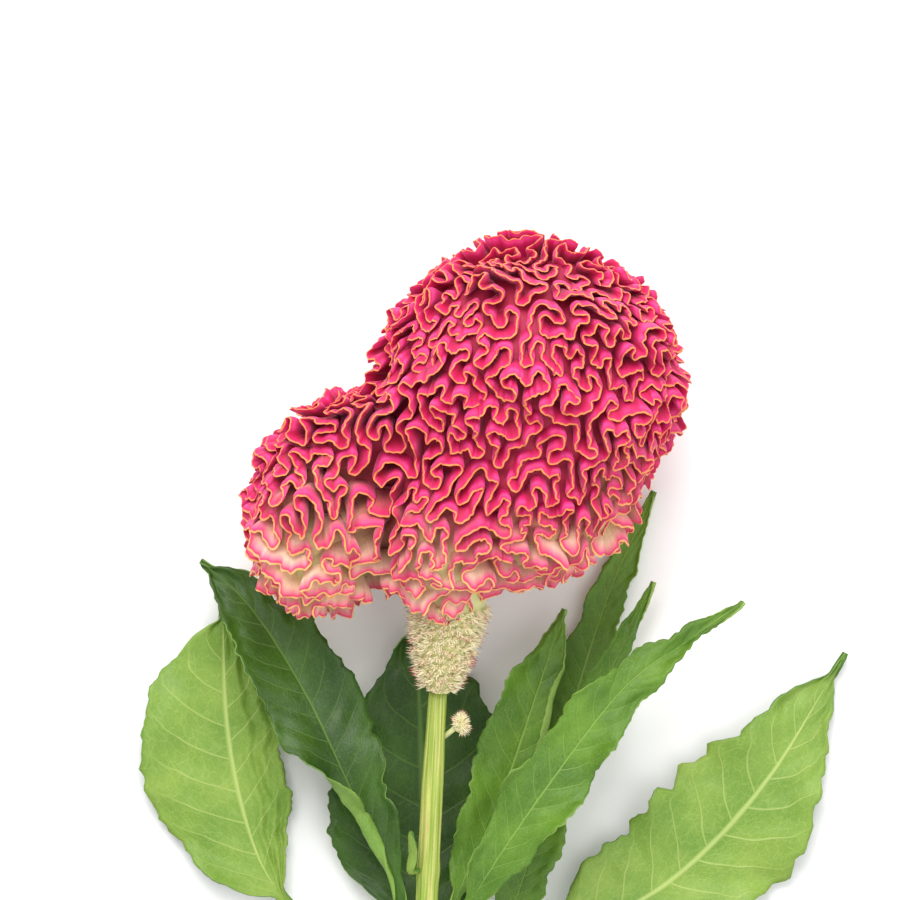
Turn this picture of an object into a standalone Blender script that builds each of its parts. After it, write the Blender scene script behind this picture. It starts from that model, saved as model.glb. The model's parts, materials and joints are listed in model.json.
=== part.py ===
"""Cut cockscomb celosia flower stem, lying on its back on a flat surface.

Metres, +Z up. The stem lies along Y with the flower at +Y, and the origin is the middle
of the small flattened spot that the comb rests on. The flower is drawn in a frame of
its own, the head frame: its origin is the neck, where the stalk meets the bristly
collar, +Y runs up the stalk, +X to the right and +Z away from the surface. TO_ROW tilts
that frame so that the cut end of the stem touches the surface too.
"""

import math
import random

import bmesh
import bpy
import numpy as np
from mathutils import Matrix, Vector

MM = 0.001

SHARP_EDGE_ANGLE = 35.0

# How the flower lies
NECK_HEIGHT = 32.3 * MM
REST_SPOT = (19.0 * MM, 90.0 * MM)
REST_SPOT_RADIUS = 13.0 * MM

# Stem
STEM_LENGTH = 246.8 * MM
STEM_NECK_LENGTH = 30.0 * MM
STEM_TOP_RADIUS = 3.0 * MM
STEM_RADIUS = 3.6 * MM
STEM_FOOT_RADIUS = 4.2 * MM
STEM_LEAN = 11.9 * MM
STEM_RINGS = 9
STEM_RIBS = 10
RIB_DEPTH = 0.35 * MM
JOINT_SWELLING = 0.35 * MM
SEAT_GAP = 0.3 * MM

# Comb: the lobes of its outline, each a centre and three radii in mm in the head frame
LOBES = [
    ((30.1, 102.5, 0.0), (53.1, 49.5, 44.0)),
    ((-39.0, 58.0, 4.0), (27.0, 35.9, 28.0)),
    ((0.1, 57.2, 12.0), (23.0, 31.3, 28.0)),
    ((24.2, 71.4, 0.0), (43.6, 39.9, 40.0)),
    ((-17.1, 85.9, 0.0), (32.5, 17.7, 26.0)),
]
LOBE_BLEND = 350.0
COMB_MIDDLE = (13.0 * MM, 78.0 * MM, 2.0 * MM)
COMB_REACH = 130.0 * MM
CORE_DEPTH = 10.5 * MM

# Folds of the comb. The margin lines grow in rounds: pull evens a line's steps, ease
# straightens it, push keeps lines apart, and no node moves more than one stride a round.
FOLD_SEED = 5
FOLD_STARTS = 18
FOLD_START_NODES = 14
FOLD_START_RAYS = 600
FOLD_SPACING = 13.5 * MM
FOLD_STEP = 5.1 * MM
FOLD_NODES = 900
FOLD_ROUNDS = 600
FOLD_SETTLING = 80
FOLD_PULL = 0.35
FOLD_EASE = 0.06
FOLD_PUSH = 1.1 * MM
FOLD_STRIDE = 0.5 * MM
FOLD_BUDDING = 0.04
FOLD_SPLIT_STRETCH = 1.45
FOLD_FULL_STRETCH = 1.6
FOLD_TIGHTEST = 0.1
FOLD_DROP_STRETCH = 0.9
FOLD_DROP_CHANCE = 0.15
FOLD_JITTER = 0.08 * MM
FOLD_NEIGHBOURS = 3
FOLD_CROWDING = 1.2
FOLD_DEPTH = 13.5 * MM
RIM_THICKNESS = 1.5 * MM
ROOT_THICKNESS = 2.2 * MM
FOLD_LEAN = 4.0 * MM
THROAT_MIDDLE = (6.0 * MM, 16.0 * MM, -6.0 * MM)
THROAT_RADIUS = 25.0 * MM
THROAT_PROFILE = [(19.0, 36.0), (22.0, 44.0), (22.0, 62.0)]
THROAT_SIDES = 16
HEEL_HEIGHT = 18.0 * MM
HEEL_FLARE = 9.0 * MM
HEEL_SINK = 1.0 * MM
GROUND_SIZE = 400.0 * MM

# Collar of florets between the stem and the comb
COLLAR_AXIS = (0.13, 1.0, 0.07)
# Radius and height in mm, from the neck up
COLLAR_PROFILE = [(6.4, 0.0), (8.2, 7.0), (10.4, 15.0), (12.8, 24.0), (14.6, 33.0), (14.6, 44.0)]
COLLAR_FLATNESS = 0.86
COLLAR_SIDES = 14
COLLAR_FLORETS = 84
COLLAR_BARE_FROM = 29.0
SOCKET_GAP = 0.4
SOCKET_RUN_OUT = 12.0
FLORET_LENGTH = 4.6 * MM
FLORET_RADIUS = 1.1 * MM

# Side bud and scale leaf on the stem
BUD_JOINT = 14.0 * MM
BUD_MIDDLE = (8.6, -8.0, 0.0)
BUD_RADII = (3.4, 3.0, 3.0)
BUD_STALK_RADIUS = 0.9 * MM
BUD_FLORETS = 14
BUD_FLORET_LENGTH = 2.6 * MM
BUD_FLORET_RADIUS = 0.8 * MM

# Leaves. Each has its joint's distance below the neck and the way it leaves the stem, in
# degrees about the stem from the right over the top, then the midrib's route in mm from
# the neck: along X, along Y and the height above the surface.
LEAF_RIB_THICKNESS = 2.2 * MM
LEAF_EDGE_THICKNESS = 0.8 * MM
LEAF_STALK_HALF_WIDTH = 1.9 * MM
LEAF_TIP_HALF_WIDTH = 0.5 * MM
LEAF_FIRST_ROW = 3.5 * MM
LEAF_ROOT_ROOM = 0.15 * MM
DARK_GREEN = (0.035, 0.13, 0.02)
MID_GREEN = (0.08, 0.24, 0.03)
PALE_GREEN = (0.20, 0.38, 0.07)
LEAVES = {
    "leaf_under": {"joint": 85.0, "leaves_at": 270.0, "half_width": 31.0, "stalk": 0.1,
                   "fold": 7.0, "roll": (0.0, 0.0), "wave": 1.6, "waves": 3.0,
                   "colour": DARK_GREEN,
                   "route": [(-4.5, -72.0, 11.0), (-5.0, -45.0, 5.5), (-6.0, -10.0, 4.5),
                             (-8.0, 24.0, 9.0)]},
    "leaf_left_pale": {"joint": 105.0, "leaves_at": 185.0, "half_width": 22.5, "stalk": 0.38,
                       "fold": 6.0, "roll": (90.0, 0.0), "wave": 1.5, "waves": 3.0,
                       "colour": PALE_GREEN,
                       "route": [(-20.0, -96.0, 15.0), (-40.0, -82.0, 8.5), (-60.0, -58.0, 5.5),
                                 (-73.0, -18.0, 4.5), (-72.0, 27.0, 5.0)]},
    "leaf_left_dark": {"joint": 78.0, "leaves_at": 160.0, "half_width": 13.5, "stalk": 0.16,
                       "fold": 16.0, "roll": (60.0, -14.0), "wave": 1.6, "waves": 3.0,
                       "colour": DARK_GREEN,
                       "route": [(-14.0, -62.0, 27.0), (-30.0, -30.0, 27.0), (-44.0, -1.0, 23.0),
                                 (-62.0, 27.0, 17.5), (-79.0, 43.0, 15.0)]},
    "leaf_right_inner": {"joint": 80.0, "leaves_at": 335.0, "half_width": 12.0, "stalk": 0.14,
                         "fold": 12.0, "roll": (-65.0, 0.0), "wave": 1.2, "waves": 3.0,
                         "colour": MID_GREEN,
                         "route": [(7.0, -66.0, 20.5), (20.5, -36.0, 20.5), (33.0, 0.0, 20.0),
                                   (42.0, 27.0, 17.0)]},
    "leaf_right_long": {"joint": 93.0, "leaves_at": 25.0, "half_width": 12.0, "stalk": 0.18,
                        "fold": 14.0, "roll": (-65.0, 0.0), "wave": 1.8, "waves": 4.0,
                        "colour": MID_GREEN,
                        "route": [(6.0, -78.0, 29.0), (27.0, -44.0, 36.0), (60.0, 0.0, 37.0),
                                  (84.0, 18.0, 31.0), (101.0, 29.4, 24.0)]},
    "leaf_right_narrow": {"joint": 112.0, "leaves_at": 350.0, "half_width": 8.0, "stalk": 0.2,
                          "fold": 12.0, "roll": (-80.0, 0.0), "wave": 1.0, "waves": 3.0,
                          "colour": MID_GREEN,
                          "route": [(18.0, -90.0, 17.5), (42.0, -24.0, 15.5), (59.0, 10.0, 14.5),
                                    (71.6, 36.0, 13.0)]},
    "leaf_behind": {"joint": 101.0, "leaves_at": 330.0, "half_width": 8.5, "stalk": 0.2,
                    "fold": 8.0, "roll": (-60.0, 0.0), "wave": 0.8, "waves": 3.0,
                    "colour": MID_GREEN,
                    "route": [(20.0, -80.0, 14.0), (40.0, -22.0, 6.5), (55.0, 26.0, 4.0),
                              (72.0, 66.0, 4.0)]},
    "leaf_right_broad": {"joint": 121.0, "leaves_at": 5.0, "half_width": 18.5, "stalk": 0.3,
                         "fold": 6.0, "roll": (-90.0, 0.0), "wave": 1.6, "waves": 3.0,
                         "colour": PALE_GREEN,
                         "route": [(14.0, -110.0, 12.0), (42.0, -86.0, 7.0), (80.0, -60.0, 4.5),
                                   (110.0, -28.0, 3.5), (130.0, 6.0, 1.5)]},
    "leaf_low_right": {"joint": 151.0, "leaves_at": 0.0, "half_width": 16.0, "stalk": 0.2,
                       "fold": 8.0, "roll": (-90.0, 0.0), "wave": 1.5, "waves": 3.0,
                       "colour": MID_GREEN,
                       "route": [(16.0, -142.0, 11.0), (50.0, -116.0, 5.5), (86.0, -90.0, 1.5)]},
    "leaf_low_left": {"joint": 140.0, "leaves_at": 180.0, "half_width": 16.0, "stalk": 0.2,
                      "fold": 8.0, "roll": (90.0, 0.0), "wave": 1.5, "waves": 3.0,
                      "colour": MID_GREEN,
                      "route": [(-24.0, -131.0, 11.0), (-55.0, -108.0, 5.5), (-84.0, -86.0, 1.5)]},
    "leaf_foot_right": {"joint": 172.0, "leaves_at": 350.0, "half_width": 11.0, "stalk": 0.22,
                        "fold": 10.0, "roll": (-80.0, 0.0), "wave": 1.2, "waves": 2.0,
                        "colour": MID_GREEN,
                        "route": [(8.0, -166.0, 9.5), (30.0, -152.0, 5.0), (54.0, -142.0, 1.5)]},
    "leaf_foot_left": {"joint": 163.0, "leaves_at": 190.0, "half_width": 12.0, "stalk": 0.2,
                       "fold": 10.0, "roll": (80.0, 0.0), "wave": 1.2, "waves": 2.0,
                       "colour": MID_GREEN,
                       "route": [(-22.0, -158.0, 9.5), (-44.0, -146.0, 5.0), (-66.0, -138.0, 1.5)]},
    "bract": {"joint": 60.0, "leaves_at": 140.0, "half_width": 1.3, "stalk": 0.1,
              "fold": 0.0, "roll": (80.0, 40.0), "wave": 0.0, "waves": 0.0, "colour": PALE_GREEN,
              "route": [(-8.6, -54.0, 31.5), (-10.0, -46.5, 33.0)]},
}
LARGE_LEAF_HALF_WIDTH = 12.9
SMALL_LEAF_HALF_WIDTH = 2.0
LEAF_TURN_SHARE = 0.3
LEAF_RISE = 0.75
LEAF_FALL = 0.95
LEAF_PROFILE_PEAK = 0.318

GOLDEN_ANGLE = math.pi * (3.0 - math.sqrt(5.0))

TILT = math.asin((NECK_HEIGHT - STEM_FOOT_RADIUS * 0.996) / STEM_LENGTH)
TO_ROW = (Matrix.Translation((-REST_SPOT[0], -REST_SPOT[1], NECK_HEIGHT))
          @ Matrix.Rotation(TILT, 4, "X"))


def clear_scene():
    """Remove every object that the scene starts with."""
    for item in list(bpy.data.objects):
        bpy.data.objects.remove(item, do_unlink=True)


def make_collection(name):
    """Return a new collection linked to the scene."""
    collection = bpy.data.collections.new(name)
    bpy.context.scene.collection.children.link(collection)
    return collection


def finish_material(name, colour, roughness):
    """Return a Principled material of one colour."""
    material = bpy.data.materials.new(name)
    material.use_nodes = True
    shader = material.node_tree.nodes["Principled BSDF"]
    shader.inputs["Base Color"].default_value = (*colour, 1.0)
    shader.inputs["Roughness"].default_value = roughness
    shader.inputs["Metallic"].default_value = 0.0
    material.diffuse_color = (*colour, 1.0)
    return material


def take_active(name, collection):
    """Name the object just added and move it into one collection."""
    item = bpy.context.object
    item.name = name
    for owner in list(item.users_collection):
        owner.objects.unlink(item)
    collection.objects.link(item)
    return item


def read_points(item):
    """Return the object's vertex places as an array."""
    points = np.empty(len(item.data.vertices) * 3)
    item.data.vertices.foreach_get("co", points)
    return points.reshape(-1, 3)


def write_points(item, points):
    """Move the object's vertices to new places."""
    item.data.vertices.foreach_set("co", np.asarray(points, dtype=float).ravel())
    item.data.update()


def bake_modifiers(item):
    """Replace the object's mesh with what its modifiers make of it."""
    depsgraph = bpy.context.evaluated_depsgraph_get()
    mesh = bpy.data.meshes.new_from_object(item.evaluated_get(depsgraph))
    item.modifiers.clear()
    item.data = mesh


def bake_place(item):
    """Move the object's own placing into its mesh."""
    bpy.context.view_layer.update()
    item.data.transform(item.matrix_world)
    item.matrix_world = Matrix.Identity(4)


def unite(item, others):
    """Fuse the objects of a collection into one object and remove them."""
    union = item.modifiers.new("fuse", "BOOLEAN")
    union.operation = "UNION"
    union.operand_type = "COLLECTION"
    union.collection = others
    union.solver = "MANIFOLD"
    bake_modifiers(item)
    for other in list(others.objects):
        bpy.data.objects.remove(other, do_unlink=True)


def cut(item, cutter):
    """Take one cutter's space out of an object."""
    difference = item.modifiers.new("cut", "BOOLEAN")
    difference.operation = "DIFFERENCE"
    difference.object = cutter
    difference.solver = "MANIFOLD"
    bake_modifiers(item)


def make_cutter(item, collection):
    """Mark an object as a cutter, which is not part of the flower."""
    for owner in list(item.users_collection):
        owner.objects.unlink(item)
    collection.objects.link(item)
    item.display_type = "WIRE"
    item.hide_render = True
    return item


def keep_largest_body(item):
    """Drop loose scraps and sealed hollows, which are the smaller closed shells."""
    shape = bmesh.new()
    shape.from_mesh(item.data)
    bmesh.ops.triangulate(shape, faces=shape.faces)
    left = set(shape.verts)
    shells = []
    while left:
        shell = {left.pop()}
        border = list(shell)
        while border:
            vertex = border.pop()
            for edge in vertex.link_edges:
                other = edge.other_vert(vertex)
                if other in left:
                    left.remove(other)
                    shell.add(other)
                    border.append(other)
        shells.append(shell)
    shells.sort(key=len, reverse=True)
    scraps = [vertex for shell in shells[1:] for vertex in shell]
    bmesh.ops.delete(shape, geom=scraps, context="VERTS")
    shape.to_mesh(item.data)
    shape.free()


def dress(item, material):
    """Give a finished object its one material, shaded smooth but for its sharp edges."""
    item.data.materials.clear()
    item.data.materials.append(material)
    item.data.shade_smooth()
    item.data.set_sharp_from_angle(angle=math.radians(SHARP_EDGE_ANGLE))


def outline_field(points):
    """Return the signed distance to the comb's lobed outline, and its gradient."""
    centres = np.array([centre for centre, radii in LOBES]) * MM
    sizes = np.array([radii for centre, radii in LOBES]) * MM
    scaled = (points[:, None, :] - centres) / sizes
    length = np.linalg.norm(scaled, axis=2) + 1e-9
    slope = np.linalg.norm(scaled / sizes, axis=2) / length
    distance = (length - 1.0) / slope
    direction = (scaled / sizes) / length[..., None] / slope[..., None]
    nearest = distance.min(axis=1, keepdims=True)
    share = np.exp(-LOBE_BLEND * (distance - nearest))
    total = share.sum(axis=1, keepdims=True)
    value = (nearest - np.log(total) / LOBE_BLEND)[:, 0]
    gradient = ((share / total)[..., None] * direction).sum(axis=1)
    return value, gradient


def onto_outline(points, steps=3):
    """Move points onto the comb's outline."""
    for _ in range(steps):
        value, gradient = outline_field(points)
        points = points - (value / (gradient ** 2).sum(axis=1))[:, None] * gradient
    return points


def near_pairs(points, reach, block=1500):
    """Return the index pairs of points closer than reach."""
    square = (points ** 2).sum(axis=1)
    firsts = []
    seconds = []
    for start in range(0, len(points), block):
        part = points[start:start + block]
        gap = square[start:start + block, None] + square[None, :] - 2.0 * part @ points.T
        first, second = np.nonzero(gap < reach * reach)
        firsts.append(first + start)
        seconds.append(second)
    first = np.concatenate(firsts)
    second = np.concatenate(seconds)
    apart = first != second
    return first[apart], second[apart]


def fold_starts():
    """Return small closed rings spread evenly over the comb, where its folds begin."""
    index = np.arange(FOLD_START_RAYS)
    height = 1.0 - 2.0 * (index + 0.5) / FOLD_START_RAYS
    angle = index * GOLDEN_ANGLE
    flat = np.sqrt(1.0 - height ** 2)
    rays = np.stack([flat * np.cos(angle), height, flat * np.sin(angle)], axis=1)
    spots = onto_outline(np.array(COMB_MIDDLE) + rays * COMB_REACH / 2.0, 12)
    clear = np.linalg.norm(spots - THROAT_MIDDLE, axis=1) > THROAT_RADIUS + FOLD_SPACING * 0.9
    spots = spots[clear]
    chosen = [0]
    gap = np.linalg.norm(spots - spots[0], axis=1)
    while len(chosen) < FOLD_STARTS:
        chosen.append(int(gap.argmax()))
        gap = np.minimum(gap, np.linalg.norm(spots - spots[chosen[-1]], axis=1))
    turn = np.linspace(0.0, math.tau, FOLD_START_NODES, endpoint=False)
    radius = FOLD_STEP * FOLD_START_NODES / math.tau
    rings = []
    for spot in spots[chosen]:
        normal = outline_field(spot[None])[1][0]
        normal /= np.linalg.norm(normal)
        side = np.cross(normal, (0.0, 0.3, 1.0))
        side /= np.linalg.norm(side)
        other = np.cross(normal, side)
        ring = spot + radius * (np.cos(turn)[:, None] * side + np.sin(turn)[:, None] * other)
        rings.append(ring)
    labels = np.repeat(np.arange(FOLD_STARTS), FOLD_START_NODES)
    return onto_outline(np.concatenate(rings)), labels


def grow_folds():
    """Grow closed margin lines over the outline until they meander across all of it.

    Each line pulls its nodes to an even step, every node pushes away what comes nearer
    than the fold spacing, and new nodes appear where there is room, as cells do along
    the margin of a real comb. Crowded nodes go, so that others can open elsewhere. The
    places are rounded each round, so the folds come out alike on any computer.
    """
    draw = np.random.default_rng(FOLD_SEED)
    points, labels = fold_starts()
    changed = True
    for round_number in range(FOLD_ROUNDS):
        count = len(points)
        first = np.flatnonzero(np.r_[True, labels[1:] != labels[:-1]])
        last = np.r_[first[1:], count] - 1
        after = np.arange(count) + 1
        after[last] = first
        before = np.arange(count) - 1
        before[first] = last
        if changed or round_number % 3 == 0:
            here, there = near_pairs(points, FOLD_SPACING * 1.3)
            ring_size = (last - first + 1)[labels[here]]
            along = np.abs(here - there)
            along = np.where(labels[here] == labels[there],
                             np.minimum(along, ring_size - along), count)
            far = along > FOLD_NEIGHBOURS
            here = here[far]
            there = there[far]
            changed = False
        edge = points[after] - points
        length = np.linalg.norm(edge, axis=1, keepdims=True) + 1e-9
        pull = FOLD_PULL * (length - FOLD_STEP) * edge / length
        force = pull - pull[before]
        force += FOLD_EASE * ((points[after] + points[before]) / 2.0 - points)
        apart = points[here] - points[there]
        gap = np.linalg.norm(apart, axis=1) + 1e-9
        crowd = np.clip(1.0 - gap / FOLD_SPACING, 0.0, None)
        push = (FOLD_PUSH * crowd / gap)[:, None] * apart
        for axis in range(3):
            force[:, axis] += np.bincount(here, push[:, axis], count)
        off_throat = points - THROAT_MIDDLE
        depth = np.linalg.norm(off_throat, axis=1)
        force += (np.clip(THROAT_RADIUS - depth, 0.0, None) * 0.5 / depth)[:, None] * off_throat
        size = np.linalg.norm(force, axis=1, keepdims=True)
        force *= np.minimum(1.0, FOLD_STRIDE / (size + 1e-9))
        points = onto_outline(points + force, 1).round(7)
        stretch = np.linalg.norm(points[after] - points, axis=1)
        room = np.exp(-FOLD_CROWDING * np.bincount(here, crowd, count))
        if count < FOLD_NODES:
            split = stretch > FOLD_SPLIT_STRETCH * FOLD_STEP
            split |= draw.random(count) < FOLD_BUDDING * room
        else:
            split = stretch > FOLD_FULL_STRETCH * FOLD_STEP
            tight = np.flatnonzero(room < np.quantile(room, FOLD_TIGHTEST))
            tight = tight[stretch[tight] < FOLD_DROP_STRETCH * FOLD_STEP]
            tight = tight[draw.random(len(tight)) < FOLD_DROP_CHANCE]
            if round_number < FOLD_ROUNDS - FOLD_SETTLING and len(tight):
                points = np.delete(points, tight, axis=0)
                labels = np.delete(labels, tight)
                changed = True
                continue
        at = np.flatnonzero(split)
        if len(at):
            middle = (points[at] + points[after[at]]) / 2.0
            middle = middle + draw.normal(0.0, FOLD_JITTER, (len(at), 3))
            points = np.insert(points, at + 1, middle, axis=0)
            labels = np.insert(labels, at + 1, labels[at])
            changed = True
    points = onto_outline(points, 2)
    return [points[labels == ring] for ring in range(FOLD_STARTS)]


def smooth_ring(points, rounds):
    """Return a closed line with its corners eased."""
    for _ in range(rounds):
        points = (np.roll(points, 1, axis=0) + 2.0 * points + np.roll(points, -1, axis=0)) / 4.0
    return points


def unit(vectors):
    """Return vectors of length one."""
    return vectors / (np.linalg.norm(vectors, axis=1, keepdims=True) + 1e-12)


def fold_sheet(margin, number, collection):
    """Make one ruffled sheet: a band that stands on the comb along a closed margin."""
    segments = len(margin)
    bpy.ops.mesh.primitive_torus_add(major_segments=segments, minor_segments=4)
    sheet = take_active(f"fold_{number}", collection)
    rim = smooth_ring(margin, 1)
    rim_normal = unit(outline_field(rim)[1])
    foot = onto_outline(smooth_ring(margin, 4))
    foot_normal = unit(outline_field(foot)[1])
    along = unit(np.roll(rim, -1, axis=0) - np.roll(rim, 1, axis=0))
    rim_side = unit(np.cross(along, rim_normal)) * RIM_THICKNESS / 2.0
    foot_side = unit(np.cross(along, foot_normal)) * ROOT_THICKNESS / 2.0
    lean = np.array((0.0, 1.0, 0.0)) - foot_normal[:, 1:2] * foot_normal
    foot = foot - foot_normal * FOLD_DEPTH + lean * FOLD_LEAN
    corners = np.stack([rim + rim_side, rim - rim_side, foot - foot_side, foot + foot_side], axis=1)
    write_points(sheet, corners.reshape(-1, 3))
    return sheet


def comb_core(collection):
    """Make the solid heart of the comb, which the folds stand on."""
    bpy.ops.mesh.primitive_ico_sphere_add(subdivisions=3, radius=1.0)
    core = take_active("comb", collection)
    rays = unit(read_points(core))
    middle = np.array(COMB_MIDDLE)
    inside = np.zeros(len(rays))
    outside = np.full(len(rays), COMB_REACH)
    for _ in range(26):
        half = (inside + outside) / 2.0
        value = outline_field(middle + rays * half[:, None])[0]
        deep = value < -CORE_DEPTH
        inside = np.where(deep, half, inside)
        outside = np.where(deep, outside, half)
    write_points(core, middle + rays * inside[:, None])
    return core


def collar_axis_matrix():
    """Return the matrix that stands a turned Z shape along the collar's axis."""
    axis = Vector(COLLAR_AXIS).normalized()
    lift = Matrix.Translation((0.0, SEAT_GAP, 0.0))
    return lift @ axis.to_track_quat("Z", "X").to_matrix().to_4x4()


def turned(name, profile, collection, sides):
    """Turn a profile, listed from its foot to its top, about the collar's axis."""
    mesh = bpy.data.meshes.new(name)
    outline = [(0.0, profile[-1][1])] + list(reversed(profile)) + [(0.0, profile[0][1])]
    shape = bmesh.new()
    corners = [shape.verts.new((radius * MM, 0.0, height * MM)) for radius, height in outline]
    for first, second in zip(corners, corners[1:]):
        shape.edges.new((first, second))
    shape.to_mesh(mesh)
    shape.free()
    item = bpy.data.objects.new(name, mesh)
    collection.objects.link(item)
    screw = item.modifiers.new("turn", "SCREW")
    screw.steps = sides
    screw.render_steps = sides
    screw.use_merge_vertices = True
    screw.merge_threshold = 0.00001
    bake_modifiers(item)
    item.data.transform(collar_axis_matrix() @ Matrix.Diagonal((1.0, COLLAR_FLATNESS, 1.0, 1.0)))
    return item


def build_comb(parts, cutters, scratch):
    """Build the comb: a core with its ruffled sheets, flattened where it rests."""
    core = comb_core(parts)
    for number, margin in enumerate(grow_folds()):
        fold_sheet(margin, number, scratch)
    turned("throat", THROAT_PROFILE, scratch, THROAT_SIDES)
    bpy.ops.mesh.primitive_cone_add(vertices=20, radius1=REST_SPOT_RADIUS,
                                    radius2=REST_SPOT_RADIUS + HEEL_FLARE, depth=HEEL_HEIGHT,
                                    location=(0.0, 0.0, HEEL_HEIGHT / 2.0 - HEEL_SINK))
    heel = take_active("heel", scratch)
    bake_place(heel)
    heel.data.transform(TO_ROW.inverted())
    unite(core, scratch)

    socket_profile = [(COLLAR_PROFILE[0][0] + FLORET_LENGTH / MM, -SOCKET_RUN_OUT)]
    for radius, height in COLLAR_PROFILE:
        bare = height > COLLAR_BARE_FROM
        room = SOCKET_GAP if bare else FLORET_LENGTH / MM
        socket_profile.append((radius + room, height))
    top_radius, top_height = socket_profile.pop()
    socket_profile.append((top_radius, top_height + SOCKET_GAP))
    socket = make_cutter(turned("collar_socket", socket_profile, cutters, COLLAR_SIDES), cutters)
    cut(core, socket)
    core.data.transform(TO_ROW)
    bpy.ops.mesh.primitive_cube_add(size=GROUND_SIZE, location=(0.0, 0.0, -GROUND_SIZE / 2.0))
    ground = make_cutter(bpy.context.object, cutters)
    ground.name = "ground"
    cut(core, ground)
    keep_largest_body(core)
    dress(core, finish_material("comb", (0.72, 0.02, 0.15), 0.75))


def build_collar(parts, scratch):
    """Build the tapered collar with its bristly florets."""
    draw = random.Random(17)
    collar = turned("collar", COLLAR_PROFILE, parts, COLLAR_SIDES)
    axis = collar_axis_matrix()
    for number in range(COLLAR_FLORETS):
        share = (number + 0.5) / COLLAR_FLORETS
        height = COLLAR_BARE_FROM * MM * (0.04 + 0.94 * share ** 0.8)
        radius = np.interp(height / MM, [h for r, h in COLLAR_PROFILE],
                           [r for r, h in COLLAR_PROFILE]) * MM
        angle = number * GOLDEN_ANGLE
        outward = Vector((math.cos(angle), math.sin(angle) * COLLAR_FLATNESS, 0.0))
        rise = 0.45 - 0.9 * share + draw.uniform(-0.25, 0.25)
        aim = Vector((math.cos(angle), math.sin(angle), rise))
        bpy.ops.mesh.primitive_cone_add(vertices=3, radius1=FLORET_RADIUS, radius2=0.0,
                                        depth=FLORET_LENGTH, end_fill_type="NGON")
        floret = take_active(f"floret_{number}", scratch)
        floret.data.transform(Matrix.Translation((0.0, 0.0, FLORET_LENGTH * 0.26)))
        floret.data.transform(Matrix.Rotation(draw.uniform(0.0, math.tau), 4, "Z"))
        floret.data.transform(aim.to_track_quat("Z", "Y").to_matrix().to_4x4())
        floret.data.transform(Matrix.Translation(outward * radius + Vector((0.0, 0.0, height))))
        floret.data.transform(axis)
    unite(collar, scratch)
    keep_largest_body(collar)
    collar.data.transform(TO_ROW)
    dress(collar, finish_material("collar", (0.78, 0.72, 0.50), 0.8))


def stem_axis(distance):
    """Return the stem's axis point at a distance below the neck, in the head frame."""
    share = distance / STEM_LENGTH
    return Vector((-STEM_LEAN * share ** 0.92, -distance, 0.0))


def stem_radius(distance):
    """Return the stem's radius at a distance below the neck."""
    share = distance / STEM_LENGTH
    neck_share = STEM_NECK_LENGTH / STEM_LENGTH
    upper = min(1.0, share / neck_share)
    lower = max(0.0, share - neck_share) / (1.0 - neck_share)
    return (STEM_TOP_RADIUS + (STEM_RADIUS - STEM_TOP_RADIUS) * upper
            + (STEM_FOOT_RADIUS - STEM_RADIUS) * lower)


def build_stem(parts, leaf_distances):
    """Build the ribbed stem as a tube of ribbed section, swollen at its leaf joints."""
    section = bpy.data.curves.new("stem_section", "CURVE")
    section.dimensions = "2D"
    ring = section.splines.new("POLY")
    ring.points.add(STEM_RIBS * 2 - 1)
    ring.use_cyclic_u = True
    for number, point in enumerate(ring.points):
        angle = math.pi * number / STEM_RIBS
        radius = 1.0 if number % 2 == 0 else 1.0 - RIB_DEPTH / STEM_RADIUS
        point.co = (radius * math.cos(angle), radius * math.sin(angle), 0.0, 1.0)
    section_object = bpy.data.objects.new("stem_section", section)
    parts.objects.link(section_object)

    route = bpy.data.curves.new("stem", "CURVE")
    route.dimensions = "3D"
    route.bevel_mode = "OBJECT"
    route.bevel_object = section_object
    route.use_fill_caps = True
    distances = list(np.linspace(SEAT_GAP, STEM_LENGTH, STEM_RINGS)) + list(leaf_distances)
    distances.sort()
    line = route.splines.new("POLY")
    line.points.add(len(distances) - 1)
    for point, distance in zip(line.points, distances):
        joint = distance in leaf_distances
        point.co = (*stem_axis(distance), 1.0)
        point.radius = stem_radius(distance) + (JOINT_SWELLING if joint else 0.0)
    route_object = bpy.data.objects.new("stem_route", route)
    parts.objects.link(route_object)
    bpy.context.view_layer.update()
    depsgraph = bpy.context.evaluated_depsgraph_get()
    mesh = bpy.data.meshes.new_from_object(route_object.evaluated_get(depsgraph))
    bpy.data.objects.remove(route_object, do_unlink=True)
    bpy.data.objects.remove(section_object, do_unlink=True)
    shape = bmesh.new()
    shape.from_mesh(mesh)
    bmesh.ops.remove_doubles(shape, verts=shape.verts, dist=0.00001)
    bmesh.ops.recalc_face_normals(shape, faces=shape.faces)
    shape.to_mesh(mesh)
    shape.free()
    stem = bpy.data.objects.new("stem", mesh)
    parts.objects.link(stem)
    stem.data.transform(TO_ROW)
    dress(stem, finish_material("stem", (0.42, 0.50, 0.14), 0.5))


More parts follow.
